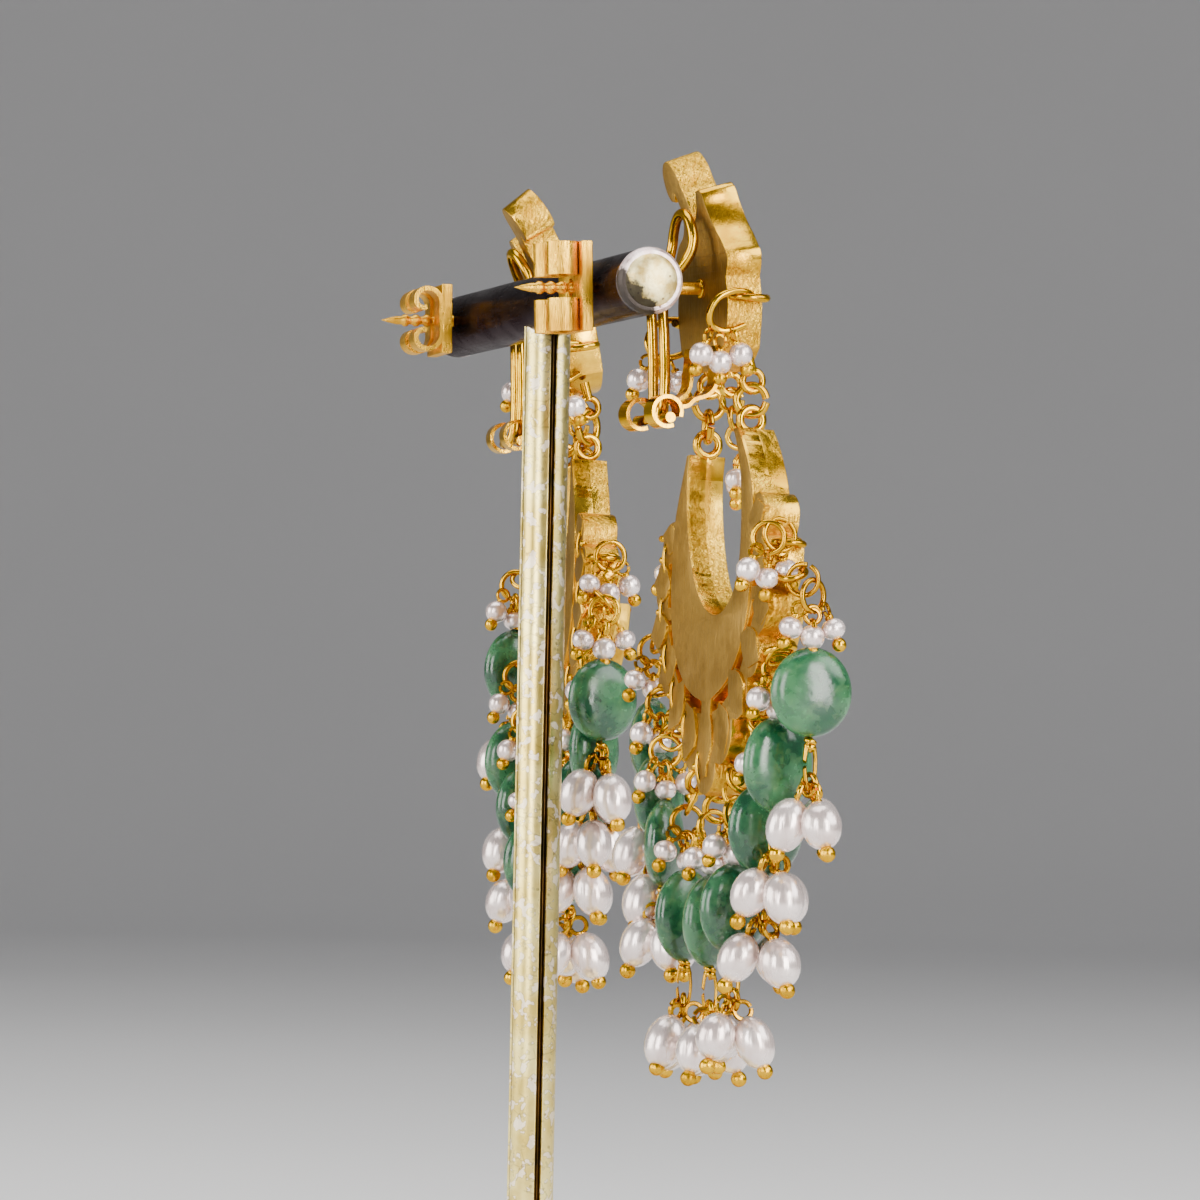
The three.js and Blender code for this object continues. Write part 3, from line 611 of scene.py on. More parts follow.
def chain(shape, start, end, radius, thick, turn):
    """Small rings linked from one place to another, each turned across the last."""
    along = end - start
    count = max(1, round(along.length / (1.72 * radius)))
    facing = along.to_track_quat("-Z", "Y").to_matrix().to_4x4()
    stretch = max(1.0, along.length / count / (1.72 * radius))
    link = jump_ring(radius, thick)
    for i in range(count):
        centre = start.lerp(end, (i + 0.5) / count)
        shape.stamp(link, moved_to(centre) @ facing @ turned_by(turn + 85 * (i % 2), "Z")
                    @ Matrix.Diagonal((1, 1, stretch, 1)) @ turned_by(90, "X"))


# ---------------- stand

def spun(profile, sides, merge=0.001):
    """A profile of (radius, height) turned about the Z axis."""
    bm = bmesh.new()
    points = [bm.verts.new((radius, 0, z)) for radius, z in profile]
    edges = [bm.edges.new(pair) for pair in zip(points, points[1:])]
    bmesh.ops.spin(bm, geom=points + edges, cent=(0, 0, 0), axis=(0, 0, 1), angle=math.tau,
                   steps=sides, use_merge=True)
    bmesh.ops.remove_doubles(bm, verts=bm.verts, dist=merge)
    return bm


def turned(profile, finish, sides):
    return mesh_of(spun(profile, sides), finish, 40)


def add_base():
    low, high = (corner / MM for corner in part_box("stand_base"))
    radius = (high.x - low.x) / 2
    height = high.z - low.z
    profile = [(0, 0), (radius - 0.3, 0), (radius, 0.3), (radius, height - 1.1),
               (radius - 0.35, height - 0.75), (radius - 1.2, height - 0.6),
               (radius - 1.7, height - 0.15), (radius - 2.3, height), (4.2, height), (3.9, height),
               (0, height)]
    Shape().stamp(turned(profile, "base", 96)).finish(
        "stand_base_turned", "stand", "stand_brass", ["stand_base"])


# a groove's edge as (part of its half width, part of its depth), and the pole's own measures
GROOVE_LINE = [(-1, 0), (-0.72, 0.8), (-0.5, 1), (-0.3, 0.95), (-0.16, 0.5), (0, 0.36), (0.16, 0.5),
               (0.3, 0.95), (0.5, 1), (0.72, 0.8), (1, 0)]
POLE = {"turn": -4.3, "groove_half": 9, "groove_depth": 0.4, "below_bar": 1.7}


def add_pole():
    low, high = (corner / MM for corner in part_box("stand_pole"))
    radius = (high.y - low.y) / 2
    outline = []
    for quarter in range(4):
        start = POLE["turn"] + 90 * quarter
        line = [(start + part * POLE["groove_half"], radius - deep * POLE["groove_depth"])
                for part, deep in GROOVE_LINE]
        line += [(start + turn, radius) for turn in range(13, 78, 8)]
        outline += [polar(far, angle) for angle, far in line]
    mesh = slab([outline], 0, BAR_Z - POLE["below_bar"] - low.z, 0.02, "pole", 2, 40)
    # the slab runs along y from nought and its outline lies in x and z
    mesh.transform(moved_to((0, 0, low.z)) @ turned_by(90, "X"))
    for polygon in mesh.polygons:
        centre = polygon.center
        if abs(polygon.normal.z) < 0.5 and math.hypot(centre.x, centre.y) < radius - 0.08:
            polygon.material_index = ORDER.index("groove")
    Shape().stamp(mesh).finish("stand_pole_fluted", "stand", "stand_brass", ["stand_pole"])


def add_bar():
    half = (BAR_HIGH.x - BAR_LOW.x) / 2
    edge = 0.12
    profile = [(0, -half), (BAR_RADIUS - edge, -half), (BAR_RADIUS, -half + edge),
               (BAR_RADIUS, half - edge), (BAR_RADIUS - edge, half), (0, half)]
    Shape().stamp(turned(profile, "bar", 64), moved_to((0, 0, BAR_Z)) @ turned_by(90, "Y")).finish(
        "stand_bar_tube", "stand", "bar_metal", ["stand_bar"])
    rim = 0.55
    for name, side in (("bar_cap_left", -1), ("bar_cap_right", 1)):
        low, high = (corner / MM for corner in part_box(name))
        long = high.x - low.x
        outer = turned([(0, 0), (BAR_RADIUS, 0), (BAR_RADIUS + 0.05, rim * 0.5), (BAR_RADIUS - 0.05, rim),
                        (BAR_RADIUS - 0.25, rim + 0.3), (BAR_RADIUS - 0.48, rim + 0.35), (0, rim + 0.3)],
                       "rim", 64)
        dome = turned([(0, rim), (BAR_RADIUS - 0.5, rim + 0.3), (BAR_RADIUS - 0.6, rim + 0.55),
                       (1.5, long - 0.2), (0.8, long - 0.03), (0, long)], "cap", 64)
        foot = low.x if side > 0 else high.x
        place = moved_to((foot, 0, BAR_Z)) @ turned_by(side * 90, "Y")
        Shape().stamp(outer, place).stamp(dome, place).finish(
            name + "_domed", "stand", "cap_metal", [name])


# ---------------- stud, nut and clip

STUD_LINE = [
    (0, -6.8), (3.2, -6.4), (5.2, -5.1, 1), (5.9, -1.6), (5.5, 0.6, 1), (6.1, 2.2),
    (5.3, 3.4), (3.9, 4.8), (2.9, 6.3), (2.3, 7.7), (1.2, 7.8, 1), (0.4, 6.2),
    (-0.4, 5.4, 1), (-0.9, 6.6), (-1.7, 8.2), (-2.4, 9.8), (-3.6, 10.5), (-4.8, 10.0),
    (-5.3, 8.8), (-4.9, 7.5), (-3.9, 7.2, 1), (-3.6, 7.9, 1), (-3.0, 6.4), (-3.2, 4.9),
    (-5.3, 3.4), (-6.1, 2.2), (-5.5, 0.6, 1), (-5.9, -1.6), (-5.2, -5.1, 1), (-3.2, -6.4),
]
# the rings on the stud's sides: which side, place in front of the bar, height
STUD_RINGS = [(1, 7.2, -2.4), (-1, 6.6, -4.0)]
# each ring's open loop and its staple, as (out from the side, n, z) from the ring's own place
SIDE_U = 6.3
LOOP = [(-0.6, 2.2, 1.35), (0.3, 1.2, 1.75), (0.6, -0.4, 1.7), (0.5, -1.6, 0.9), (0.2, -1.9, -0.5),
        (0, -1.3, -1.2), (0, -0.1, -1.3), (-0.3, 1.2, -0.9)]
LOOP_STAPLE = [(-0.4, 0.2, 1.5), (0.35, 1.0, 1.35), (0.35, 2.6, 1.25), (-0.4, 3.2, 1.3)]
POST = {"tip": -9.0, "root": -3.2, "radius": 0.5, "rib": 0.52, "waist": 0.36, "ribs": 4, "pitch": 0.95}


def sliced(mesh, heights):
    """Cuts a plate across at each height, so that it can bend there."""
    bm = bmesh.new()
    bm.from_mesh(mesh)
    for z in heights:
        bmesh.ops.bisect_plane(bm, geom=[*bm.verts, *bm.edges, *bm.faces], plane_co=(0, 0, z),
                               plane_no=(0, 0, 1))
    bm.to_mesh(mesh)
    bm.free()


def curled(mesh, curl):
    """Above the post the stud's plate curls back, square to its own curve."""
    for vertex in mesh.vertices:
        x, y, z = vertex.co
        if z > 0:
            depth = -y - STUD["back"]
            slope = math.atan(2 * curl * z)
            n = STUD["back"] - curl * z * z + depth * math.cos(slope)
            vertex.co = (x, -n, z + depth * math.sin(slope))
    return mesh


def post_profile():
    """The post as (radius, place in front of the bar): a point, ribs, and its collar on the plate."""
    back = STUD["back"]
    profile = [(0, POST["tip"]), (0.2, -8.35), (POST["waist"], -7.6)]
    for i in range(POST["ribs"]):
        n = -7.0 + POST["pitch"] * i
        profile += [(POST["waist"], n - 0.2), (POST["rib"], n), (POST["rib"], n + 0.3),
                    (POST["waist"], n + 0.5)]
    return profile + [(POST["radius"], POST["root"]), (POST["radius"], back - 0.35), (0.78, back - 0.2),
                      (0.78, back + 0.1), (0, back + 0.1)]


def hanging_eye(shape, place, rise):
    """An eye for a chain, and the short wire that holds it under the stud."""
    shape.stamp(jump_ring(LINK["eye"], LINK["eye_wire"], 2), moved_to(place) @ turned_by(90, "Y"))
    shape.stamp(wire([place + UP * 0.7, place + UP * rise + Vector((0, 0.4, 0))], 0.42))


def add_stud(e):
    back = STUD["back"]
    leant = (moved_to((0, -back, STUD["hinge_z"])) @ turned_by(-e.tilt, "X")
             @ moved_to((0, back, -STUD["hinge_z"])))
    outline = [(e.side * u, z, *corner) for u, z, *corner in STUD_LINE]
    plate = face_finish(slab([outline], -(back + STUD["depth"]), -back, 0.12))
    sliced(plate, [0.5 + 0.7 * i for i in range(15)])
    e.add(Shape().stamp(curled(plate, e.curl), leant), "stud_plate", "stand", "gold", e.fixed, "stud")

    fittings = Shape()
    pearls = Shape()
    fittings.stamp(turned(post_profile(), "nut", 20), turned_by(90, "X"))
    fittings.stamp(jump_ring(0.62, 0.2, 2),
                   leant @ moved_to((0, -back + 0.15, 0)) @ turned_by(90, "X"))
    rng = random.Random(3)
    for way, n, z in STUD_RINGS:
        for line, thick in ((LOOP, 0.28), (LOOP_STAPLE, 0.34)):
            points = [e.at(way * (SIDE_U + out), n + ahead, z + up) for out, ahead, up in line]
            fittings.stamp(wire(points, thick), leant)
        centre = leant @ e.at(way * (SIDE_U + 0.1), n - 0.95, z - 0.4)
        seed_row(fittings, pearls, centre - UP * 0.3, 1.2, rng, 0, 55)
        hanging_eye(fittings, e.at(way * PENDANT["horn"], e.front + LINK["ahead"], LINK["low_eye"]), 2.2)
    hanging_eye(fittings, e.at(0, e.front + LINK["ahead"], LINK["centre_z"] - 0.4), 1.6)
    e.add(fittings, "stud_fittings", "stand", "gold", e.fixed)
    e.add(pearls, "stud_pearls", "stand", "pearl", e.fixed)


def strip(path, thick, width, finish, steps=3):
    """Sheet bent along a path of (x, y), as wide as given along z, centred."""
    curve = new_curve("3D", steps)
    bezier(curve, [(x, y, 0) for x, y in path], False)
    bm = curve_shape(curve)
    grown = bmesh.ops.extrude_edge_only(bm, edges=bm.edges)["geom"]
    moved = [item for item in grown if isinstance(item, bmesh.types.BMVert)]
    bmesh.ops.translate(bm, verts=moved, vec=(0, 0, width))
    bmesh.ops.translate(bm, verts=bm.verts, vec=(0, 0, -width / 2))
    bmesh.ops.recalc_face_normals(bm, faces=bm.faces)
    bmesh.ops.solidify(bm, geom=bm.faces[:], thickness=thick)
    return mesh_of(bm, finish, 50)


# the clip's seat, in n and z: a strip rolled up for the wire's ends, and its arm up to the stud's back
SEAT = {"n": 2.5, "z": -10.1, "radius": 1.35, "sheet": 0.3, "width": 2.0, "apart": 3.1}
SEAT_ARM = [(3.75, -9.9), (4.4, -9.75), (4.9, -9.3), (5.9, -9.0), (6.7, -8.3), (7.0, -6.9), (7.3, -4.8)]
# half of the clip's wire as (u, n, z), from its end in the seat up to the top of its loop
CLIP_WIRE = [(4.0, 2.76, -10.58), (2.6, 2.76, -10.58), (1.85, 2.86, -10.46), (1.4, 3.1, -9.68),
             (1.4, 3.25, -7.5), (1.4, 3.25, -4), (1.4, 3.25, -0.9), (1.55, 3.7, 0.5), (2.25, 4.95, 2.2),
             (2.5, 5.4, 3.4), (2.05, 5.45, 4.8), (1.1, 5.4, 5.75)]
CLIP_TOP = (0, 5.38, 6.05)


def add_clip(e):
    seat = Shape()
    round_points = [polar(SEAT["radius"], angle) for angle in range(-20, 300, 26)]
    roll = [(SEAT["n"] + ahead, SEAT["z"] + up) for ahead, up in round_points]
    stand_up = Matrix(((0, 0, -1, 0), (-1, 0, 0, 0), (0, 1, 0, 0), (0, 0, 0, 1)))
    for way in (-1, 1):
        for path in (roll, SEAT_ARM):
            seat.stamp(strip(path, SEAT["sheet"], SEAT["width"], "wire"),
                       stand_up @ moved_to((0, 0, way * SEAT["apart"])))
    e.add(seat, "clip_seat", "stand", "gold", e.fixed)

    route = CLIP_WIRE + [CLIP_TOP] + [(-u, n, z) for u, n, z in reversed(CLIP_WIRE)]
    points = [e.at(u, n - e.clip_slope * max(0, z), z) for u, n, z in route]
    loop = Shape().stamp(wire(points, 0.425, sides=12, steps=5))
    e.add(loop, "clip_wire", "clip", "gold", e.fixed, "omega_clip")


NUT = {"back": -4.05, "wing": 1.5, "scroll": 1.6, "sheet": 0.4, "width": 2.65, "apart": 2.27, "hole": 0.72}
NUT_PLATE = [(-3.0, -3.6, 1), (3.0, -3.6, 1), (3.0, 3.6, 1), (-3.0, 3.6, 1)]


def add_nut(e):
    back, scroll, hole = NUT["back"], NUT["scroll"], NUT["hole"]
    half = [(NUT["wing"] * 0.5, back)]
    for i in range(11):
        part = i / 10
        x, y = polar(scroll * (1 - 0.56 * part), 90 - part * 285)
        half.append((NUT["wing"] + x, back - scroll + y))
    line = [(-x, y) for x, y in reversed(half)] + [(0, back)] + half
    nut = Shape()
    turn = turned_by(-e.nut_turn, "Y")
    for way in (-1, 1):
        nut.stamp(strip(line, NUT["sheet"], NUT["width"], "nut", 4),
                  turn @ Matrix.Scale(-1, 4, (0, 1, 0)) @ moved_to((0, 0, way * NUT["apart"])))
    bore = [(x, y) for x, y, z in circle(hole, 0, 330, 12)]
    nut.stamp(slab([NUT_PLATE, bore], 3.3, 0.2 - back, 0.12, "nut"), turn)
    e.add(nut, "nut_scrolled", "ear_nut", "gold", e.fixed, "ear_nut")


# ---------------- what hangs from the stud

def add_links(e):
    for way, word in ((1, "outer"), (-1, "inner")):
        top = e.at(way * PENDANT["horn"], LINK["ahead"], LINK["low_eye"] - LINK["eye_z"])
        links = Shape()
        chain(links, top - UP * 0.5, e.horn(way) + UP * 0.55, CHAIN["radius"], CHAIN["wire"], 30)
        e.add(links, f"chain_{word}", "stand", "gold", e.plumb, f"side_link_{word}")
    drop = Shape()
    pearls = Shape()
    top = e.at(0, LINK["ahead"], LINK["centre_z"] - 0.4 - LINK["eye_z"])
    knot = e.at(0, DROP["ahead"], top.z - DROP["long"])
    chain(drop, top - UP * 0.5, knot + UP * 0.7, DROP["radius"], DROP["wire"], 50)
    seed_row(drop, pearls, knot, 0.7, random.Random(5), 60, 62)
    e.add(drop, "drop_chain", "stand", "gold", e.plumb, "centre_drop")
    e.add(pearls, "drop_pearls", "stand", "pearl", e.plumb)


# ---------------- crescent

# (u, z), a 1 at each corner: the scalloped edge from the outer horn round to the inner, and the opening
SCALLOPS = [
    (5.2, -0.8, 1), (6.2, -0.8, 1), (7.4, -2.0), (8.6, -3.5), (9.5, -4.9), (10.3, -6.6, 1),
    (11.4, -6.6), (12.5, -7.6), (12.6, -8.9), (12.2, -9.9, 1),
    (13.6, -10.6), (13.9, -12.0), (13.6, -13.3), (12.9, -14.2, 1),
    (13.9, -14.9), (14.0, -16.2), (13.3, -17.4), (12.0, -18.1, 1),
    (12.5, -19.0), (12.1, -20.3), (11.1, -21.2), (9.9, -21.3, 1),
    (9.9, -22.5), (9.2, -23.7), (8.0, -24.4), (6.8, -24.3, 1),
    (6.6, -25.7), (5.9, -27.0), (4.6, -27.8), (3.2, -27.6, 1),
    (3.1, -28.7), (2.2, -29.7), (1.0, -30.1, 1), (-0.2, -29.7), (-1.1, -28.7), (-1.2, -27.6, 1),
    (-2.6, -27.8), (-3.9, -27.0), (-4.6, -25.7), (-4.8, -24.3, 1),
    (-6.0, -24.4), (-7.2, -23.7), (-7.9, -22.5), (-7.9, -21.3, 1),
    (-9.1, -21.2), (-10.1, -20.3), (-10.5, -19.0), (-10.0, -18.1, 1),
    (-11.3, -17.4), (-12.1, -16.2), (-12.0, -14.9), (-11.2, -14.2, 1),
    (-12.0, -13.3), (-12.2, -12.0), (-11.9, -10.6), (-10.8, -9.9, 1),
    (-11.0, -8.9), (-10.5, -7.6), (-9.2, -7.0), (-7.8, -7.0, 1),
    (-7.2, -5.4), (-6.5, -3.9), (-5.9, -2.7), (-5.5, -1.8, 1),
]
OPENING = [
    (-4.9, -1.8, 1), (-5.2, -4.2), (-5.0, -6.5), (-4.4, -8.8), (-3.5, -11.0), (-2.3, -12.9),
    (-0.7, -14.4), (1.1, -15.3), (3.0, -15.6), (4.9, -15.1), (6.5, -13.9), (7.4, -12.1),
    (7.7, -9.5), (7.5, -6.5), (7.0, -4.0), (6.2, -2.3),
]
# the edge of the raised body from the outer horn to the foot of its stem, and the pierced slots beside it
BODY = [
    (5.2, -0.8, 1), (6.2, -0.8, 1), (7.4, -2.0), (8.6, -3.5), (9.5, -4.9), (10.2, -6.8),
    (10.2, -10.4), (10.1, -14.0), (9.3, -17.0), (7.0, -20.1), (4.6, -21.6), (2.1, -22.4, 1),
    (1.9, -25.0), (1.4, -28.6, 1),
]
SLOTS = [
    [(10.3, -10.4), (11.4, -10.4), (11.3, -14.0), (10.2, -14.0)],
    [(10.3, -15.1), (11.5, -15.1), (10.2, -17.2), (9.4, -17.1)],
    [(9.2, -17.8), (9.9, -17.9), (8.1, -20.5), (7.0, -20.2)],
    [(1.9, -22.6), (4.6, -21.7), (7.0, -20.7), (7.9, -21.2), (4.0, -23.1), (1.9, -23.4)],
    [(1.9, -24.1), (2.3, -24.1), (2.1, -25.2), (1.8, -25.0)],
]
LEAVES = [(11.2, -8.4), (12.4, -12.2), (12.3, -16.1), (10.6, -19.9), (8.2, -23.0), (4.8, -26.2), (1.0, -28.4),
          (-2.8, -26.2), (-6.2, -23.0), (-8.6, -19.9), (-10.4, -16.1), (-10.6, -12.2), (-9.4, -8.4)]
# plates soldered on the ring of leaves: place out from the middle and height, turn from straight down,
# length, width; and the outline of each, as parts of its length and its width
FACETS = [(0, -25.4, 0, 6.2, 3.4), (3.6, -24.9, 22, 4.6, 3.6), (7.0, -22.3, 42, 5.2, 3.5),
          (9.6, -18.9, 60, 5.0, 3.4), (11.6, -15.8, 80, 3.9, 3.2), (11.4, -11.9, 95, 3.9, 3.4),
          (10.2, -8.4, 108, 3.6, 2.7)]
FACET_LINE = [(-0.5, 0, 1), (-0.15, 0.42), (0.12, 0.46, 1), (0.5, 0, 1), (0.12, -0.46, 1),
              (-0.15, -0.42)]
# the wire staple beside a leaf's corner: part of the way inward, out of the back, up
LEAF_STAPLE = [(1, -0.1, 1.4), (1, 0.14, 0.9), (1.2, 0.14, -0.9), (1.2, -0.1, -1.4)]
# raised tiers of the front: how far out, and lower and upper edge from the middle to one side
TIERS = [
    (1.2, [(1.0, -22.2), (4.4, -21.3), (6.8, -19.8), (8.6, -17.6), (9.6, -14.8), (9.8, -11.8)],
     [(1.0, -16.4), (4.2, -16.0), (6.8, -14.6), (8.4, -12.4)]),
    (2.4, [(1.0, -21.2), (4.1, -20.4), (6.2, -19.0), (7.8, -16.9), (8.7, -14.4)],
     [(1.0, -17.3), (4.4, -16.8), (7.0, -15.4)]),
]


def other_way(line, way=-1):
    """A line of points on the named side of the crescent's middle."""
    middle = PENDANT["middle"]
    return [(middle + way * (u - middle), z, *rest) for u, z, *rest in line]


def near(place, line, limit=0.3):
    """Whether a place in x and z lies within the limit of a closed line."""
    point = Vector((place.x, place.z))
    for (ax, az, *_), (bx, bz, *_) in zip(line, line[1:] + line[:1]):
        a, b = Vector((ax, az)), Vector((bx, bz))
        part = min(1.0, max(0.0, (point - a).dot(b - a) / (b - a).length_squared))
        if (a.lerp(b, part) - point).length < limit:
            return True
    return False


def facet_outline(row, way):
    u, z, turn, length, width = row
    sine, cosine = math.sin(math.radians(turn)), math.cos(math.radians(turn))
    line = []
    for along, across, *corner in FACET_LINE:
        a, b = along * length, across * width
        out = u + a * sine + b * cosine
        line.append((PENDANT["middle"] + way * out, z - a * cosine + b * sine, *corner))
    return line


def add_crescent(e):
    metal_parts = Shape()
    back = e.front - e.plate_back
    front = back - PENDANT["depth"]
    slots = [e.pattern([(u, z, 1) for u, z in other_way(slot, way)]) for slot in SLOTS for way in (1, -1)]
    opening = e.pattern(OPENING)
    edge = e.pattern(SCALLOPS)
    plate = slab([e.pattern(SCALLOPS + OPENING), *slots], front, back, 0.09)
    body_line = BODY + other_way(BODY[6:])[::-1] + [(-7.8, -7.0), *SCALLOPS[-4:]]
    body = slab([e.pattern(body_line + OPENING)], back - PENDANT["depth"] * 0.5, back + 0.16, 0.07)
    for piece in (plate, body):
        for polygon in piece.polygons:
            if abs(polygon.normal.y) < FLAT:
                if near(polygon.center, opening[1:]) and not near(polygon.center, edge, 0.15):
                    polygon.material_index = ORDER.index("inner")
                if any(near(polygon.center, slot) for slot in slots):
                    polygon.material_index = ORDER.index("cell")
        metal_parts.stamp(face_finish(piece), e.flat)
    for i, row in enumerate(FACETS):
        for way in (1,) if i == 0 else (1, -1):
            rise = 0.08 + 0.09 * ((i * 2 + (way > 0)) % 3)
            facet = slab([e.pattern(facet_outline(row, way))], back - 0.4, back + rise, 0.04, steps=3)
            metal_parts.stamp(face_finish(facet), e.flat)
    for rise, lower, upper in TIERS:
        half = upper + [(*lower[-1], 1)] + lower[-2::-1]
        outline = e.pattern(half + other_way(half[1:-1])[::-1])
        metal_parts.stamp(slab([outline], front - rise, front + 0.2, 0.3, "front", 5, 20), e.flat)
    # small balls and wire staples at the leaves' corners, on the side towards the pole
    knob = ball(0.3, "wire", 8, 6)
    inward = 0.75 * e.side
    for x, z, *corner in e.pattern(SCALLOPS[9:-8]):
        if corner and x * e.side < PENDANT["middle"]:
            metal_parts.stamp(knob, e.flat @ moved_to((x - inward * 0.2, back, z)))
            staple = [(x + inward * out, back + y, z + up) for out, y, up in LEAF_STAPLE]
            metal_parts.stamp(wire(staple, 0.14, sides=6), e.flat)
    ring = jump_ring(PENDANT["ring"], PENDANT["wire"], 2, 12)
    for way in (1, -1):
        metal_parts.stamp(ring, moved_to(e.horn(way)) @ turned_by(90, "Y"))
    e.add(metal_parts, "crescent_plate", "pendant", "gold", e.plumb, "crescent")


# ---------------- strings

def bead_shape():
    """A flat oval bead with rounded rims, standing in the XZ plane, and the line of its drilled hole."""
    half, height, thickness = BEAD["half"], BEAD["height"] / 2, BEAD["thickness"] / 2
    profile = [(0, -thickness), (half * 0.45, -thickness * 0.95), (half * 0.72, -thickness * 0.8),
               (half * 0.88, -thickness * 0.56), (half * 0.97, -thickness * 0.26), (half, 0)]
    profile += [(r, -y) for r, y in profile[-2::-1]]
    lens = turned(profile, "stone", 40)
    lens.transform(Matrix.Diagonal((1, height / half, 1, 1)))
    lens.transform(turned_by(90, "X"))
    seam = [(0, y * 0.99, r * height / half) for r, y in profile[1:-1]]
    thread = wire(seam[:5], 0.07, "thread", sides=6, steps=3)
    return lens, thread


def leaf_rim(e, hook):
    """The place on the crescent's rim beside the leaf nearest to a hook, and the way out to the hook."""
    middle = PENDANT["depth"] / 2 + e.plate_back - e.front
    places = [e.flat @ Vector((x, -middle, z)) for x, z in e.pattern(LEAVES)]
    leaf = min(places, key=lambda place: math.hypot(place.x - hook.x, place.z - hook.z))
    out = Vector((hook.x - leaf.x, 0, hook.z - leaf.z)).normalized()
    return leaf + out * 1.9, out


THREAD_COIL = {"radius": 0.32, "wire": 0.22, "turns": 2.0}
# the staple beside a soldered loop: out from the rim, towards the back, up
RIM_STAPLE = [(-0.3, 1.1, 0), (0.3, 0.4, 0.2), (0.3, -0.9, 0.2), (-0.3, -1.5, 0)]


def add_rim_loops(e, wires, seeds, rng):
    """The crescent's own loops, small rings down to each string, and its row of small pearls."""
    thick_ring = jump_ring(1.15, 0.29, 30, 10)
    string_ring = jump_ring(RING["radius"], RING["wire"], 14, 10)
    for index, row in enumerate(BUNCHES + STRINGS):
        centre = e.on_string(row, RING["depth"])
        rim, out = leaf_rim(e, centre + UP * RING["radius"])
        if index < len(BUNCHES):
            out = Vector((-1 if index else 1, 0, 0))
        # the soldered loop lies flat on the rim, a staple beside it
        flat_on = out.to_track_quat("X", "Z").to_matrix().to_4x4()
        loop = rim + out * 0.75
        wires.stamp(thick_ring, moved_to(loop) @ flat_on
                    @ Matrix.Rotation(rng.uniform(-0.3, 0.3), 4, "X") @ turned_by(180, "Z"))
        wires.stamp(wire([rim + out * ahead + Vector((0, y, z)) for ahead, y, z in RIM_STAPLE], 0.27))
        start = loop + out * 0.5
        if (centre + UP * 0.3 - start).length > 1.6:
            chain(wires, start, centre + UP * 0.9, RING["radius"], 0.2, rng.uniform(0, 90))
        wires.stamp(string_ring, moved_to(centre) @ turned_by(rng.uniform(-30, 30), "Z")
                    @ turned_by(90, "Y"))
        seed_row(wires, seeds, centre, RING["radius"], rng, rng.uniform(-16, 16), 56)


def add_strings(e):
    wires = Shape()
    seeds = Shape()
    rng = random.Random(7 if e.name == "left" else 11)
    lens, thread = bead_shape()
    long_link = jump_ring(1.0, 0.22)
    pearl_ring = jump_ring(0.85, 0.22)
    upper_coil = coil(*THREAD_COIL.values(), 0.8, -0.1)
    lower_coil = coil(*THREAD_COIL.values(), 0.1, -0.8)
    add_rim_loops(e, wires, seeds, rng)
    for index, row in enumerate(STRINGS, 1):
        bead_turn = row.bead_turn + math.copysign(e.bead_turn, row.across) + rng.uniform(-5, 5)
        place = (moved_to(e.on_string(row, BEAD["depth"])) @ turned_by(bead_turn, "Z")
                 @ turned_by(rng.uniform(-4, 4), "Y") @ Matrix.Scale(row.height / BEAD["height"], 4, UP))
        bead = Shape().stamp(lens, place).stamp(thread, place)
        e.add(bead, f"stone_bead_{index}", "pendant", "green_stone", e.plumb, f"green_bead_{index}")
        top = e.on_string(row, BEAD["depth"] - BEAD["height"] / 2)
        ring_foot = e.on_string(row, RING["depth"] + RING["radius"])
        side = turned_by(rng.uniform(60, 120), "Z") @ turned_by(90, "X")
        wires.stamp(upper_coil, moved_to(top))
        chain(wires, ring_foot + UP * 0.3, top + UP * 0.7, 0.66, 0.21, rng.uniform(0, 90))
        under = e.on_string(row, BEAD["depth"] + BEAD["height"] / 2)
        wires.stamp(lower_coil, moved_to(under))
        knot = e.on_string(row, e.pearl_depth - row.rise * e.pearl_rise)
        reach = (under - knot).z
        wires.stamp(long_link, moved_to((under + knot) / 2 - UP * 0.1) @ side
                    @ Matrix.Diagonal((0.55, reach / 2, 1, 1)))
        wires.stamp(pearl_ring, moved_to(knot + UP * 0.1) @ turned_by(90, "Z") @ side)
        rice = Shape()
        for i in range(3):
            azimuth = math.radians(row.pearl_turn + 120 * i + rng.uniform(-8, 8))
            out = Vector((math.sin(azimuth), math.cos(azimuth), 0))
            tilt = math.radians(21 + rng.uniform(-2, 4))
            hang(wires, rice, knot + out * 0.7 + UP * rng.uniform(-0.3, 0.2),
                 out * math.sin(tilt) - UP * math.cos(tilt), rng, RICE_METAL, RICE_PEARLS)
        e.add(rice, f"rice_pearls_{index}", "pendant", "pearl", e.plumb, f"pearl_cluster_{index}")
    e.add(wires, "string_wires", "pendant", "gold", e.plumb)
    e.add(seeds, "string_seeds", "pendant", "pearl", e.plumb)


# ---------------- floor and light

# a round room in metres: its radius, the radius of the sweep from floor to wall, and its height
ROOM = {"radius": 2.6, "sweep": 1.1, "height": 2.0}
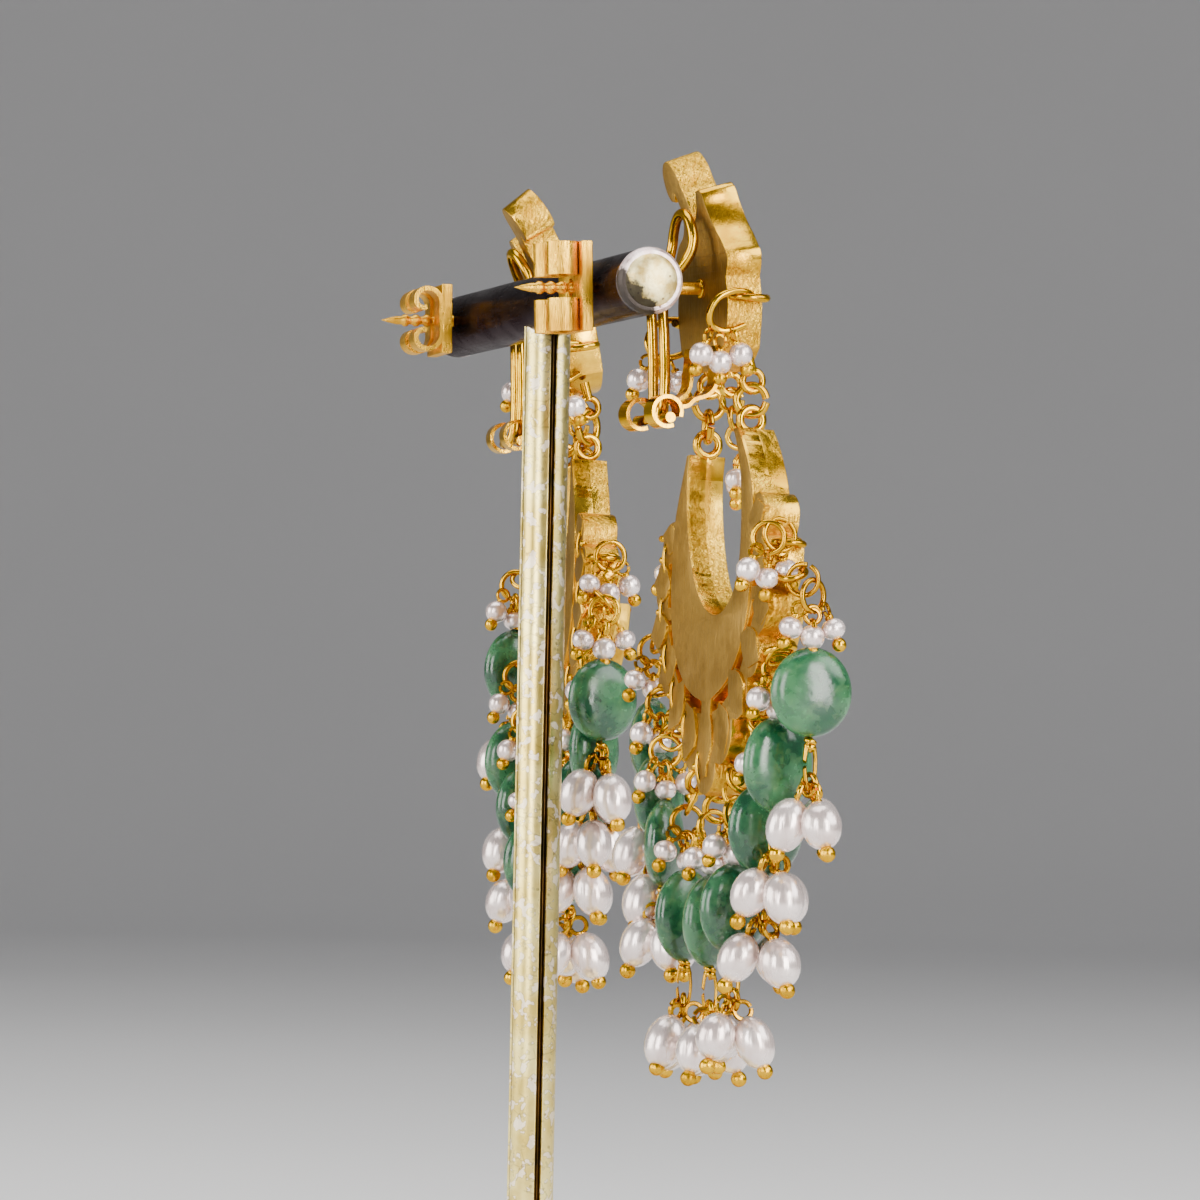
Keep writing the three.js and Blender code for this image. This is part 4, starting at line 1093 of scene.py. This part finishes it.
# name, place, width and height, watts, colour
LIGHTS = [
    ("tall_box_right", (-0.62, -0.2, 0.2), (0.2, 0.55), 6.5, (1.0, 0.97, 0.93)),
    ("tall_box_left", (-0.46, 0.5, 0.18), (0.18, 0.55), 4.2, (1.0, 0.98, 0.96)),
    ("side_box", (0.12, 0.8, 0.2), (0.55, 0.6), 7.5, (1.0, 0.98, 0.94)),
    ("front_box", (-0.35, -0.5, 0.5), (0.5, 0.5), 5.0, (1, 1, 1)),
    ("above", (0.1, 0.05, 0.8), (0.6, 0.6), 5.5, (1, 1, 1)),
]
LIGHTS_AIM = Vector((0, 0, 0.07))


def add_room():
    graph = Graph("studio_floor")
    soft = graph.noise(0.004, 2.0, 0.5)
    floor = graph.shade({"Base Color": graph.mix(soft, (0.74, 0.735, 0.73, 1), (0.78, 0.775, 0.77, 1)),
                         "Roughness": soft * 0.1 + 0.75, "Metallic": 0.0})
    radius, sweep = ROOM["radius"], ROOM["sweep"]
    profile = [(0, 0), (radius - sweep, 0)]
    for i in range(1, 13):
        angle = i / 12 * math.pi / 2
        profile.append((radius - sweep + sweep * math.sin(angle), sweep - sweep * math.cos(angle)))
    profile.append((radius, ROOM["height"]))
    bm = spun(profile, 96, 1e-5)
    bmesh.ops.recalc_face_normals(bm, faces=bm.faces)
    for face in bm.faces:
        face.smooth = True
    mesh = mesh_from(bm, "floor")
    mesh.materials.append(floor)
    new_object("floor", mesh)


def add_light(name, place, size, power, colour):
    lamp = bpy.data.lights.new(name, "AREA")
    lamp.shape = "RECTANGLE"
    lamp.size, lamp.size_y = size
    lamp.energy = power
    lamp.color = colour
    holder = new_object(name, lamp)
    aim = (LIGHTS_AIM - Vector(place)).to_track_quat("-Z", "Y")
    holder.matrix_world = moved_to(place) @ aim.to_matrix().to_4x4()


def add_lights():
    world = bpy.data.worlds.new("studio")
    world.use_nodes = True
    background = world.node_tree.nodes["Background"]
    background.inputs["Color"].default_value = (0.9, 0.92, 1.0, 1)
    background.inputs["Strength"].default_value = 0.2
    bpy.context.scene.world = world
    for row in LIGHTS:
        add_light(*row)


# ---------------- everything

add_base()
add_pole()
add_bar()
for label, facts in EARRINGS.items():
    earring = Earring(label, facts)
    add_stud(earring)
    add_clip(earring)
    add_nut(earring)
    add_links(earring)
    add_crescent(earring)
    add_strings(earring)
add_room()
add_lights()

for template in [mesh for mesh in bpy.data.meshes if mesh.users == 0]:
    bpy.data.meshes.remove(template)
